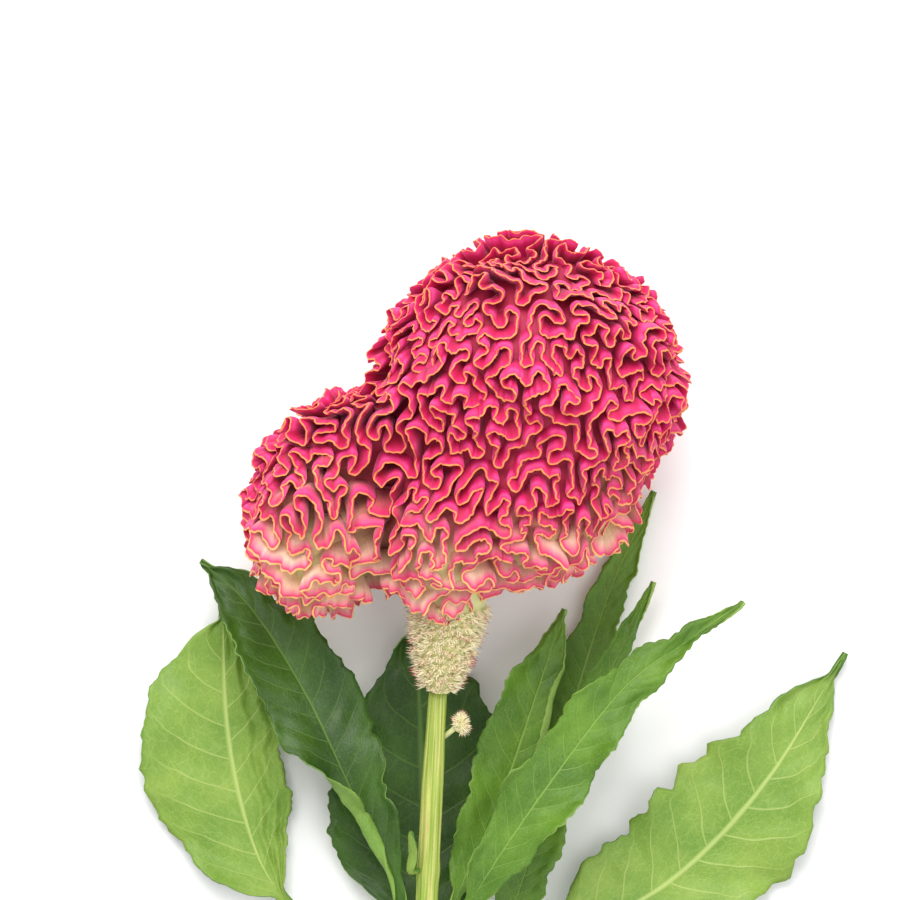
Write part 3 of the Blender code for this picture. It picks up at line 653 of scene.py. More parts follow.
LEAF_UPPER = {
    Tone.DARK: LeafFinish("leaf_dark_upper", srgb(62, 98, 24), srgb(34, 64, 14),
                          srgb(108, 144, 62), 0.42, 0.38, -0.5),
    Tone.MID: LeafFinish("leaf_mid_upper", srgb(100, 140, 38), srgb(64, 102, 24),
                         srgb(152, 184, 90), 0.45, 0.42, -0.5),
    Tone.PALE: LeafFinish("leaf_pale_upper", srgb(136, 164, 68), srgb(98, 136, 46),
                          srgb(190, 206, 122), 0.48, 0.5, 0.6),
}
LEAF_UNDER = {
    Tone.DARK: LeafFinish("leaf_dark_under", srgb(122, 156, 66), srgb(92, 130, 46),
                          srgb(168, 192, 108), 0.55, 0.45, 0.6),
    Tone.MID: LeafFinish("leaf_mid_under", srgb(138, 168, 78), srgb(106, 144, 54),
                         srgb(184, 204, 118), 0.55, 0.45, 0.6),
    Tone.PALE: LeafFinish("leaf_pale_under", srgb(84, 128, 42), srgb(56, 96, 30),
                          srgb(140, 174, 84), 0.45, 0.4, -0.5),
}


@dataclass(frozen=True)
class StemFinish:
    """A ribbed stalk of light yellow green with straw and pinkish streaks."""

    green: Rgb = srgb(140, 166, 62)
    straw: Rgb = srgb(188, 192, 104)
    blush: Rgb = srgb(190, 146, 104)
    pith: Rgb = srgb(226, 226, 180)
    streak_scale: tuple[float, float] = (30.0, 0.35)

    def make(self) -> bpy.types.Material:
        """Return the material of the skin, which reads the stem map: U round, V along.

        Returns:
            The material.
        """
        nodes = Surface("stem_skin", mottle=70.0, grain=1400.0, variation=0.35)
        around, along = nodes.read_map("stem_map")
        streak = nodes.noise(nodes.place(nodes.math("MULTIPLY", around, self.streak_scale[0]),
                                         nodes.math("MULTIPLY", along, self.streak_scale[1])),
                             2.0)
        colour = nodes.mix(nodes.span(streak, 0.42, 0.6), self.green, self.straw)
        colour = nodes.mix(nodes.span(streak, 0.62, 0.72, 0.0, 0.6), colour, self.blush)
        height = nodes.math("ADD", streak, nodes.height)
        return nodes.finish(nodes.dim(colour, nodes.brightness), height, 0.3, 0.3 * MM,
                            Roughness=0.45, Specular_IOR_Level=0.4)

    def make_cut(self) -> bpy.types.Material:
        """Return the material of the moist cut end, where paler pith shows."""
        nodes = Surface("stem_cut", mottle=900.0, grain=5000.0, variation=0.6)
        colour = nodes.mix(nodes.span(nodes.brightness, 0.85, 1.15), self.straw, self.pith)
        return nodes.finish(colour, nodes.height, 0.6, 0.2 * MM, Roughness=0.35)


@dataclass(frozen=True)
class FloretFinish:
    """Papery cream florets over a green ground, some of them tipped with red."""

    cream: Rgb = srgb(250, 240, 202)
    green: Rgb = srgb(206, 208, 146)
    red: Rgb = srgb(186, 58, 72)

    def make(self) -> bpy.types.Material:
        """Return the material.

        The attribute tip runs from the floret's foot to its point, and the attribute
        flush says how red the point is.

        Returns:
            The material.
        """
        nodes = Surface("floret_paper", mottle=300.0, grain=4000.0, variation=0.4)
        tip = nodes.attribute("tip")
        colour = nodes.mix(nodes.span(tip, 0.0, 0.3), self.green, self.cream)
        red_share = nodes.math("MULTIPLY", nodes.span(tip, 0.55, 0.8), nodes.attribute("flush"))
        colour = nodes.mix(red_share, colour, self.red)
        return nodes.finish(nodes.dim(colour, nodes.brightness), nodes.height, 0.3, 0.1 * MM,
                            Roughness=0.6)


@dataclass(frozen=True)
class Envelope:
    """The comb's rounded outline: a smooth union of ellipsoids, in mm in the head frame.

    The blend says how sharply, per mm, one ellipsoid takes over from the next.
    """

    centres: tuple[Knot, ...] = ((30.1, 102.5, 0.0), (-39.0, 58.0, 4.0), (0.1, 57.2, 12.0),
                                 (24.2, 71.4, 0.0), (-17.1, 85.9, 0.0))
    radii: tuple[Knot, ...] = ((53.1, 49.5, 44.0), (27.0, 35.9, 28.0), (23.0, 31.3, 28.0),
                               (43.6, 39.9, 40.0), (32.5, 17.7, 26.0))
    blend: float = 350.0 * MM
    middle: Knot = (13.0, 78.0, 2.0)
    farthest: float = 130.0
    halvings: int = 26

    def measure(self, points: np.ndarray) -> tuple[np.ndarray, np.ndarray]:
        """Measure how far points are from the outline.

        Args:
            points: The places, one a row.

        Returns:
            The signed distance of each, and its gradient.
        """
        centres = np.array(self.centres)
        radii = np.array(self.radii)
        scaled = (points[:, None, :] - centres) / radii
        length = np.linalg.norm(scaled, axis=2) + TINY
        slope = np.linalg.norm(scaled / radii, axis=2) / length
        distance = (length - 1.0) / slope
        direction = (scaled / radii) / length[..., None] / slope[..., None]
        nearest = distance.min(axis=1, keepdims=True)
        share = np.exp(-self.blend * (distance - nearest))
        total = share.sum(axis=1, keepdims=True)
        value = (nearest - np.log(total) / self.blend)[:, 0]
        return value, ((share / total)[..., None] * direction).sum(axis=1)

    def land(self, points: np.ndarray, steps: int = 3) -> np.ndarray:
        """Move points onto the outline.

        Args:
            points: The places, one a row.
            steps: How many times they are moved by their distance.

        Returns:
            The moved points.
        """
        for _ in range(steps):
            value, gradient = self.measure(points)
            points = points - (value / (gradient ** 2).sum(axis=1))[:, None] * gradient
        return points

    def inner(self, rays: np.ndarray, depth: float) -> np.ndarray:
        """Find where rays from the middle reach a depth below the outline.

        Args:
            rays: The rays' directions, one a row.
            depth: The depth in mm.

        Returns:
            The places.
        """
        middle = np.array(self.middle)
        inside = np.zeros(len(rays))
        outside = np.full(len(rays), self.farthest)
        for _ in range(self.halvings):
            half = (inside + outside) / 2.0
            deep = self.measure(middle + rays * half[:, None])[0] < -depth
            inside = np.where(deep, half, inside)
            outside = np.where(deep, outside, half)
        return middle + rays * inside[:, None]


def near_pairs(points: np.ndarray, reach: float) -> tuple[np.ndarray, np.ndarray]:
    """Find the pairs of points closer than a reach, with a grid of cells.

    Args:
        points: The places, one a row.
        reach: The distance.

    Returns:
        The first and the second index of each pair, in order.
    """
    cells = np.floor(points / reach).astype(np.int64)
    cells -= cells.min(axis=0) - 1
    size = cells.max(axis=0) + 2
    key = (cells[:, 0] * size[1] + cells[:, 1]) * size[2] + cells[:, 2]
    order = np.argsort(key, kind="stable")
    ordered = key[order]
    index = np.arange(len(points))
    firsts = []
    seconds = []
    for step in np.ndindex(3, 3, 3):
        across = ((step[0] - 1) * size[1] + step[1] - 1) * size[2] + step[2] - 1
        low = np.searchsorted(ordered, key + across, "left")
        count = np.searchsorted(ordered, key + across, "right") - low
        first = np.repeat(index, count)
        start = np.repeat(np.cumsum(count) - count, count)
        second = order[np.arange(len(first)) - start + np.repeat(low, count)]
        apart = points[first] - points[second]
        near = ((apart ** 2).sum(axis=1) < reach * reach) & (first != second)
        firsts.append(first[near])
        seconds.append(second[near])
    first = np.concatenate(firsts)
    second = np.concatenate(seconds)
    tidy = np.lexsort((second, first))
    return first[tidy], second[tidy]


@dataclass(frozen=True)
class Growth:
    """One stretch of growth of the closed margin lines over the outline, in mm.

    Each line pulls its nodes to an even step and straightens a little, every node pushes
    away what comes nearer than the fold spacing, and new nodes appear where there is
    room, as cells do along the margin of a real comb. Once there are enough nodes, an
    exchange takes some from where it is tight. Nothing grows in the throat, where the
    stalk comes in.
    """

    seed: int
    spacing: float
    step: float
    nodes: int
    rounds: int
    settling: int = 80
    refresh: int = 3
    neighbours: int = 3
    pull: float = 0.35
    ease: float = 0.06
    push: float = 1.1
    stride: float = 0.5
    budding: float = 0.04
    crowding: float = 1.2
    jitter: float = 0.08
    longest: float = 1.45
    longest_full: float = 1.6
    shortest: float = 0.9
    tightest: float = 0.1
    leaving: float = 0.15
    exchange: bool = True
    reach: float = 1.3
    tight: float = 1.4
    loosen: float = 0.0
    throat: Knot = (6.0, 16.0, -6.0)
    throat_radius: float = 25.0
    throat_push: float = 0.5

    def room_at(self, points: np.ndarray) -> np.ndarray:
        """Return the fold spacing at points, wider where the ruffles are loose."""
        return self.spacing * (1.0 + self.loosen * looseness(points))

    def pairs_at(self, points: np.ndarray, wanted: np.ndarray) -> tuple[np.ndarray, np.ndarray]:
        """Return the index pairs of nodes that may push each other.

        A first search takes all nodes at the usual spacing, and a second one only those
        that are looser and so push farther.

        Args:
            points: The nodes' places.
            wanted: The fold spacing at each node.

        Returns:
            The first and the second node of each pair, in order.
        """
        widest = wanted.max() * self.reach
        common = min(self.spacing * self.tight * self.reach, widest)
        here, there = near_pairs(points, common)
        if common < widest:
            loose = np.flatnonzero(wanted > self.spacing * self.tight * 0.9)
            first, second = near_pairs(points[loose], widest)
            first = loose[first]
            second = loose[second]
            beyond = np.linalg.norm(points[first] - points[second], axis=1) >= common
            here = np.r_[here, first[beyond]]
            there = np.r_[there, second[beyond]]
            order = np.lexsort((there, here))
            here = here[order]
            there = there[order]
        close = np.linalg.norm(points[here] - points[there], axis=1) < wanted[here] * self.reach
        return here[close], there[close]

    def crowd_pairs(self, points: np.ndarray, labels: np.ndarray, sizes: np.ndarray,
                    wanted: np.ndarray) -> tuple[np.ndarray, np.ndarray]:
        """Return the pairs at points without those of near neighbours on one line.

        Args:
            points: The nodes' places.
            labels: The line that each node belongs to.
            sizes: How many nodes each line has.
            wanted: The fold spacing at each node.

        Returns:
            The first and the second node of each pair.
        """
        here, there = self.pairs_at(points, wanted)
        along = np.abs(here - there)
        along = np.where(labels[here] == labels[there],
                         np.minimum(along, sizes[labels[here]] - along), len(points))
        far = along > self.neighbours
        return here[far], there[far]

    @staticmethod
    def chain(labels: np.ndarray) -> tuple[np.ndarray, np.ndarray, np.ndarray]:
        """Work out how the nodes follow each other round their lines.

        Args:
            labels: The line that each node belongs to.

        Returns:
            The node after each node, the node before it, and how many nodes a line has.
        """
        count = len(labels)
        first = np.flatnonzero(np.r_[True, labels[1:] != labels[:-1]])
        last = np.r_[first[1:], count] - 1
        after = np.arange(count) + 1
        after[last] = first
        before = np.arange(count) - 1
        before[first] = last
        return after, before, last - first + 1

    def line_force(self, points: np.ndarray, after: np.ndarray, before: np.ndarray) -> np.ndarray:
        """Return the force of the lines on each node.

        Args:
            points: The nodes' places.
            after: The node after each node.
            before: The node before each node.

        Returns:
            One vector for each node, in mm.
        """
        edge = points[after] - points
        length = np.linalg.norm(edge, axis=1, keepdims=True) + TINY
        pull = self.pull * (length - self.step) * edge / length
        force = pull - pull[before]
        return force + self.ease * ((points[after] + points[before]) / 2.0 - points)

    def tight_nodes(self, room: np.ndarray, stretch: np.ndarray,
                    draw: np.random.Generator) -> np.ndarray:
        """Choose nodes that may leave because it is tight where they are.

        Args:
            room: How much room each node has, from 0 to 1.
            stretch: The way from each node to the next.
            draw: The source of random numbers.

        Returns:
            The chosen nodes.
        """
        tight = np.flatnonzero(room < np.quantile(room, self.tightest))
        tight = tight[stretch[tight] < self.shortest * self.step]
        return tight[draw.random(len(tight)) < self.leaving]

    def run(self, outline: Envelope, points: np.ndarray,
            labels: np.ndarray) -> tuple[np.ndarray, np.ndarray]:
        """Grow the lines.

        Args:
            outline: The surface that the lines stay on.
            points: The nodes' places, line after line.
            labels: The line that each node belongs to.

        Returns:
            The grown nodes and their labels.
        """
        draw = np.random.default_rng(self.seed)
        throat = np.array(self.throat)
        changed = True
        for round_number in range(self.rounds):
            count = len(points)
            after, before, sizes = self.chain(labels)
            if (changed and self.exchange) or round_number % self.refresh == 0:
                wanted = self.room_at(points)
                here, there = self.crowd_pairs(points, labels, sizes, wanted)
                changed = False
            force = self.line_force(points, after, before)
            apart = points[here] - points[there]
            gap = np.linalg.norm(apart, axis=1) + TINY
            crowd = np.clip(1.0 - gap / wanted[here], 0.0, None)
            push = (self.push * crowd / gap)[:, None] * apart
            for axis in range(3):
                force[:, axis] += np.bincount(here, push[:, axis], count)
            off = points - throat
            depth = np.linalg.norm(off, axis=1)
            inside = np.clip(self.throat_radius - depth, 0.0, None)
            force += (inside * self.throat_push / depth)[:, None] * off
            size = np.linalg.norm(force, axis=1, keepdims=True)
            force *= np.minimum(1.0, self.stride / (size + TINY))
            points = outline.land(points + force, 1).round(4)
            stretch = np.linalg.norm(points[after] - points, axis=1)
            room = np.exp(-self.crowding * np.bincount(here, crowd, count))
            full = count >= self.nodes
            split = stretch > (self.longest_full if full else self.longest) * self.step
            if not full:
                split |= draw.random(count) < self.budding * room
            elif self.exchange:
                tight = self.tight_nodes(room, stretch, draw)
                if round_number < self.rounds - self.settling and len(tight):
                    points = np.delete(points, tight, axis=0)
                    labels = np.delete(labels, tight)
                    changed = True
                    continue
            at = np.flatnonzero(split)
            if len(at):
                middle = (points[at] + points[after[at]]) / 2.0
                middle = middle + draw.normal(0.0, self.jitter, (len(at), 3))
                points = np.insert(points, at + 1, middle, axis=0)
                labels = np.insert(labels, at + 1, labels[at])
                wanted = np.insert(wanted, at + 1, wanted[at])
                moved = np.arange(count) + np.searchsorted(at, np.arange(count))
                here = moved[here]
                there = moved[there]
                changed = True
        return outline.land(points, 2), labels


@dataclass(frozen=True)
class LooseSpot:
    """A place, in mm in the head frame, round which the ruffles are looser."""

    centre: Knot
    radius: float
    share: float

    def away(self, points: np.ndarray) -> np.ndarray:
        """Return how far points are from the spot, in units of its radius."""
        return np.linalg.norm(points - np.array(self.centre), axis=1) / self.radius


LOOSE_SPOTS = (
    LooseSpot(centre=(-35.0, 40.0, 18.0), radius=23.0, share=1.1),
    LooseSpot(centre=(2.0, 34.0, 24.0), radius=16.0, share=0.55),
    LooseSpot(centre=(-6.0, 30.0, -20.0), radius=26.0, share=0.7),
    LooseSpot(centre=(40.0, 46.0, 12.0), radius=18.0, share=0.3))
LOOSE_ANYWHERE = 0.22


def looseness(points: np.ndarray) -> np.ndarray:
    """Return how loose the ruffles are at points.

    Args:
        points: The places in mm in the head frame, one a row.

    Returns:
        A value from 0 to 1 for each.
    """
    total = LOOSE_ANYWHERE * (1.0 + ripple(points, 40.0, seed=3)) / 2.0
    for spot in LOOSE_SPOTS:
        total = total + spot.share * np.exp(-spot.away(points) ** 2)
    return np.clip(total, 0.0, 1.0)


def paleness(points: np.ndarray) -> np.ndarray:
    """Return how bleached the comb is at points.

    It is pale near the stalk and higher up at its left and right ends, half as pale
    low on its back, and pale round the first loose spot.

    Args:
        points: The places in mm in the head frame, one a row.

    Returns:
        A value from 0 to 1 for each.
    """
    across, up, front = points.T
    height = up + 7.0 * ripple(points, 34.0, seed=8) + 5.0 * ripple(points, 12.0, seed=9)
    left = smoothstep(-10.0, -34.0, across)
    right = smoothstep(34.0, 58.0, across)
    low = smoothstep(66.0 + 10.0 * left + 24.0 * right, 28.0 + 10.0 * left + 8.0 * right, height)
    back = 0.5 * smoothstep(-4.0, -34.0, front) * smoothstep(110.0, 60.0, height)
    spot = 0.95 * np.exp(-1.3 * LOOSE_SPOTS[0].away(points) ** 2)
    return np.clip(np.maximum(np.maximum(low, back), spot), 0.0, 1.0)


@dataclass
class Comb:
    """The folded crest: velvety sheets that meander over a lobed, fan shaped body.

    Lengths are in mm. A sheet has a row on each flank at each of the depths below its
    rim. The halves are half its thickness there, and the spreads say how far a row is
    eased along the line.
    """

    outline: Envelope = field(default_factory=Envelope)
    starts: int = 18
    start_nodes: int = 14
    start_rays: int = 600
    start_distance: float = 65.0
    start_room: float = 0.9
    coarse: Growth = Growth(seed=5, spacing=13.5, step=5.1, nodes=900, rounds=600)
    ruffled: Growth = Growth(seed=7, spacing=6.8, step=2.1, nodes=3900, rounds=200, refresh=4,
                             neighbours=4, pull=0.4, ease=0.04, push=1.0, stride=0.5,
                             budding=0.03, crowding=0.5, jitter=0.2, exchange=False, loosen=1.3)
    fine: Growth = Growth(seed=11, spacing=3.55, step=1.1, nodes=13500, rounds=230,
                          refresh=8, neighbours=4, pull=0.4, ease=0.03, push=0.9, stride=0.35,
                          budding=0.024, crowding=0.5, jitter=0.12, exchange=False, loosen=1.75)
    column: float = 0.62
    depths: tuple[float, ...] = (0.0, 0.25, 0.8, 1.8, 3.3, 5.6, 8.5, 12.5)
    halves: tuple[float, ...] = (0.08, 0.3, 0.58, 0.84, 1.0, 1.1, 1.25, 1.4)
    spreads: tuple[float, ...] = (0.25, 0.35, 0.55, 0.95, 1.8, 2.9, 4.0, 5.0)
    sink: float = 2.5
    deepest: float = 5.2
    droop: Knot = (0.0, -0.8, 0.58)
    floor_gap: float = 0.15
    heart_depth: float = 7.4
    heart_bumps: float = 1.2
    bulge_spread: float = 0.9
    tightest: float = 2.2
    # Where the painted top light on the folds begins and where it is full, in mm up the head.
    painted_top_light_from: float = 92.0
    painted_top_light_to: float = 125.0
    map_way: float = 10.0
    map_depth: float = 20.0
    groups: int = 5

    def start_rings(self) -> tuple[np.ndarray, np.ndarray]:
        """Lay small closed rings, spread evenly over the comb.

        Returns:
            The rings' nodes, and the ring that each belongs to.
        """
        index = np.arange(self.start_rays)
        height = 1.0 - 2.0 * (index + 0.5) / self.start_rays
        angle = index * GOLDEN_ANGLE
        flat = np.sqrt(1.0 - height ** 2)
        rays = np.stack([flat * np.cos(angle), height, flat * np.sin(angle)], axis=1)
        middle = np.array(self.outline.middle)
        spots = self.outline.land(middle + rays * self.start_distance, 12)
        off = np.linalg.norm(spots - np.array(self.coarse.throat), axis=1)
        room = self.coarse.spacing * self.start_room
        spots = spots[off > self.coarse.throat_radius + room]
        chosen = [0]
        gap = np.linalg.norm(spots - spots[0], axis=1)
        while len(chosen) < self.starts:
            chosen.append(int(gap.argmax()))
            gap = np.minimum(gap, np.linalg.norm(spots - spots[chosen[-1]], axis=1))
        turn = np.linspace(0.0, math.tau, self.start_nodes, endpoint=False)
        radius = self.coarse.step * self.start_nodes / math.tau
        rings = []
        for spot in spots[chosen]:
            normal = unit(self.outline.measure(spot[None])[1])[0]
            side = unit(np.cross(normal, (0.0, 0.3, 1.0)))
            other = np.cross(normal, side)
            rings.append(spot + radius * (np.cos(turn)[:, None] * side
                                          + np.sin(turn)[:, None] * other))
        labels = np.repeat(np.arange(self.starts), self.start_nodes)
        return self.outline.land(np.concatenate(rings)), labels

    @staticmethod
    def respace(ring: np.ndarray, step: float) -> np.ndarray:
        """Space a closed line's points evenly.

        Args:
            ring: The line's points.
            step: About how far apart they come to lie.

        Returns:
            The new points.
        """
        closed = np.vstack([ring, ring[:1]])
        travelled = np.r_[0.0, np.cumsum(np.linalg.norm(np.diff(closed, axis=0), axis=1))]
        count = max(12, int(travelled[-1] / step))
        wanted = np.linspace(0.0, travelled[-1], count, endpoint=False)
        return np.stack([np.interp(wanted, travelled, closed[:, axis]) for axis in range(3)], 1)

    def grow(self) -> list[np.ndarray]:
        """Grow the margin lines, coarse as in the solids and then ever finer.

        Returns:
            The lines in mm, each a row of points.
        """
        points, labels = self.coarse.run(self.outline, *self.start_rings())
        for stage in (self.ruffled, self.fine):
            rings = [self.respace(points[labels == ring], stage.step)
                     for ring in range(self.starts)]
            labels = np.repeat(np.arange(self.starts), [len(ring) for ring in rings])
            points, labels = stage.run(self.outline, np.concatenate(rings), labels)
            LOG.info("comb: %d nodes along its margins", len(points))
        return [points[labels == ring] for ring in range(self.starts)]

    @staticmethod
    def spread(ring: np.ndarray, step: float, width: float) -> np.ndarray:
        """Ease a closed, evenly spaced line over a width by a Gaussian.

        Args:
            ring: The line's points.
            step: How far apart they lie.
            width: The width.

        Returns:
            The eased line.
        """
        waves = np.fft.rfft(ring, axis=0)
        turns = np.arange(len(waves)) / (len(ring) * step)
        waves *= np.exp(-2.0 * (math.pi * turns * width) ** 2)[:, None]
        return np.fft.irfft(waves, len(ring), axis=0)

    @staticmethod
    def ahead(line: np.ndarray) -> np.ndarray:
        """Return the way from each point's previous one to its next, on a closed line."""
        return np.roll(line, -1, axis=0) - np.roll(line, 1, axis=0)

    def bulge(self, line: np.ndarray, step: float, normal: np.ndarray) -> np.ndarray:
        """Work out how far a sheet bulges to its front flank along its line, which places its
        painted highlight and painted shade.

        Args:
            line: The line's points.
            step: How far apart they lie.
            normal: The outline's normal at each.

        Returns:
            A value from -1 to 1 for each point.
        """
        eased = self.spread(line, step, self.bulge_spread)
        bend = (np.roll(eased, -1, axis=0) - 2.0 * eased + np.roll(eased, 1, axis=0)) / step ** 2
        side = unit(np.cross(self.ahead(eased), normal))
        return np.clip(-(bend * side).sum(axis=1) * self.tightest, -1.0, 1.0)

    def sheet_rows(self, line: np.ndarray) -> tuple[list[np.ndarray], list[np.ndarray], np.ndarray]:
        """Lay the two flanks of one sheet, from its rim to its root.

        The rim rises and sinks along its line, is finely scalloped, and sways to the
        sides, the more so where the ruffles are loose.

        Args:
            line: The evenly spaced points of the sheet's margin.

        Returns:
            The rows of the front flank, those of the back one, and the sheet's bulge, raised toward
            the top of the dome, which picks its painted highlight and painted shade.
        """
        step = float(np.linalg.norm(np.roll(line, -1, axis=0) - line, axis=1).mean())
        normal = unit(self.outline.measure(line)[1])
        droop = np.array(self.droop)
        droop = droop - (normal @ droop)[:, None] * normal
        loose = looseness(line)
        lift = (2.8 * ripple(line, 22.0, seed=21) + 1.3 * ripple(line, 8.5, seed=22)
                + (0.3 + 0.5 * loose) * ripple(line, 3.6, seed=23) - self.sink)
        lift = np.maximum(lift, -self.deepest)
        scallop = 0.16 * ripple(line, 1.9, seed=24)
        sway = (0.3 * ripple(line, 3.4, seed=25) + 0.26 * ripple(line, 2.0, seed=26)
                + 1.3 * loose * ripple(line, 5.6, seed=27))
        swayed = line + sway[:, None] * unit(np.cross(self.ahead(line), normal))
        fronts = []
        backs = []
        for depth, half, width in zip(self.depths, self.halves, self.spreads):
            rise = lift * math.exp(-depth / 9.0) + scallop * math.exp(-depth / 2.0) - depth
            centre = self.spread(swayed, step, width) + normal * rise[:, None]
            centre = centre - droop * depth * (1.0 - 0.03 * depth)
            side = unit(np.cross(unit(self.ahead(centre)), normal))
            fronts.append(centre + side * half)
            backs.append(centre - side * half)
        # Painted light: the folds toward the top of the dome lean to the highlighted colours.
        painted_top_light = 0.5 * smoothstep(self.painted_top_light_from, self.painted_top_light_to, line[:, 1])
        return fronts, backs, self.bulge(line, step, normal) + painted_top_light

    def build_sheet(self, ring: np.ndarray, number: int) -> bpy.types.Object:
        """Build one closed ruffled sheet from its margin line.

        Args:
            ring: The margin line in mm.
            number: The sheet's number.

        Returns:
            The sheet, reshaped from a ring of squares.
        """
        fronts, backs, bulge = self.sheet_rows(self.respace(ring, self.column))
        rows = np.stack(fronts + backs[::-1] + fronts[:1])
        flank = np.r_[np.ones(len(fronts)), -np.ones(len(backs)), 1.0]
        depths = np.array([*self.depths, *self.depths[::-1], self.depths[0]])
        placed = self.to_row(rows.reshape(-1, 3)).reshape(rows.shape)
        along = np.arange(rows.shape[1] + 1) * self.column / self.map_way
        # The attribute crown carries the bulge: high on a curl's outer flank, which gets the
        # painted highlight, and low on its inner flank, which gets the painted shade.
        return loft(f"fold_{number}", placed, "fold_map", depths / self.map_depth, along,
                    0.5 + 0.5 * flank[:, None] * bulge)

    def to_row(self, points: np.ndarray) -> np.ndarray:
        """Carry points from the head frame to the row frame and keep them off the floor.

        Args:
            points: The places in mm in the head frame, one a row.

        Returns:
            The places in metres in the row frame.
        """
        placed = carry(TO_ROW, points * MM)
        gap = self.floor_gap * MM
        low = placed[:, 2] < gap
        placed[low, 2] = gap - (placed[low, 2] - gap) * 0.02
        return placed

    def build_heart(self) -> bpy.types.Object:
        """Build the inner body that closes the view between the folds.

        Returns:
            The body, reshaped from a ball.
        """
        deselect_all()
        bpy.ops.mesh.primitive_ico_sphere_add(subdivisions=5, radius=1.0)
        heart = bpy.context.object
        heart.name = "comb_heart"
        points = self.outline.inner(unit(read_points(heart)), self.heart_depth)
        normal = unit(self.outline.measure(points)[1])
        points = points + normal * (self.heart_bumps * ripple(points, 9.0, seed=31))[:, None]
        write_points(heart, self.to_row(points))
        return heart

    @staticmethod
    def dress(piece: bpy.types.Object, material: bpy.types.Material) -> None:
        """Give a piece of the comb its material and its paleness, and hand it in.

        Args:
            piece: The piece.
            material: Its material, which reads the attribute pale.
        """
        piece.data.materials.append(material)
        piece.data.shade_smooth()
        shade = piece.data.attributes.new("pale", "FLOAT", "POINT")
        shade.data.foreach_set("value", paleness(carry(TO_ROW.inverted(), read_points(piece)) / MM))
        hand_in(piece, "comb")

    def build(self) -> None:
        """Build and dress the whole comb, its sheets shared out over a few pieces."""
        velvet = CombFinish().make()
        rings = self.grow()
        rings.sort(key=len, reverse=True)
        bundles: list[list[np.ndarray]] = [[] for _ in range(self.groups)]
        for ring in rings:
            min(bundles, key=lambda bundle: sum(map(len, bundle))).append(ring)
        for number, bundle in enumerate(bundles):
            sheets = [self.build_sheet(ring, index) for index, ring in enumerate(bundle)]
            self.dress(join(sheets, f"comb_folds_{number + 1}"), velvet)
        self.dress(self.build_heart(), HeartFinish().make())


def stem_axis(distance: float) -> Vector:
    """Return the stem's axis point at a distance below the neck, in the head frame."""
    return Vector((-STEM_SWAY * (distance / STEM_LENGTH) ** 0.92, -distance, 0.0))


def stem_radius(distance: float) -> float:
    """Return the stem's radius at a distance below the neck.

    Args:
        distance: The distance in metres.

    Returns:
        The radius in metres, which grows fast at first and then slowly.
    """
    share = distance / STEM_LENGTH
    upper = min(1.0, share / STEM_UPPER)
    lower = max(0.0, share - STEM_UPPER) / (1.0 - STEM_UPPER)
    return (3.0 + 0.6 * upper + 0.6 * lower) * MM


def smooth_route(knots: list[np.ndarray], shares: np.ndarray) -> np.ndarray:
    """Lay a smooth curve through knots.

    Args:
        knots: The knots, one after another.
        shares: Where on the curve's length the points lie, from 0 to 1.

    Returns:
        The points.
    """
    ends = [knots[0] * 2.0 - knots[1], *knots, knots[-1] * 2.0 - knots[-2]]
    points = []
    for a, b, c, d in zip(ends, ends[1:], ends[2:], ends[3:]):
        for t in np.arange(24) / 24.0:
            points.append(0.5 * (2.0 * b + (c - a) * t + (2.0 * a - 5.0 * b + 4.0 * c - d) * t ** 2
                                 + (3.0 * b - a - 3.0 * c + d) * t ** 3))
    points = np.array([*points, knots[-1]])
    travelled = np.r_[0.0, np.cumsum(np.linalg.norm(np.diff(points, axis=0), axis=1))]
    wanted = shares * travelled[-1]
    return np.stack([np.interp(wanted, travelled, points[:, axis]) for axis in range(3)], axis=1)


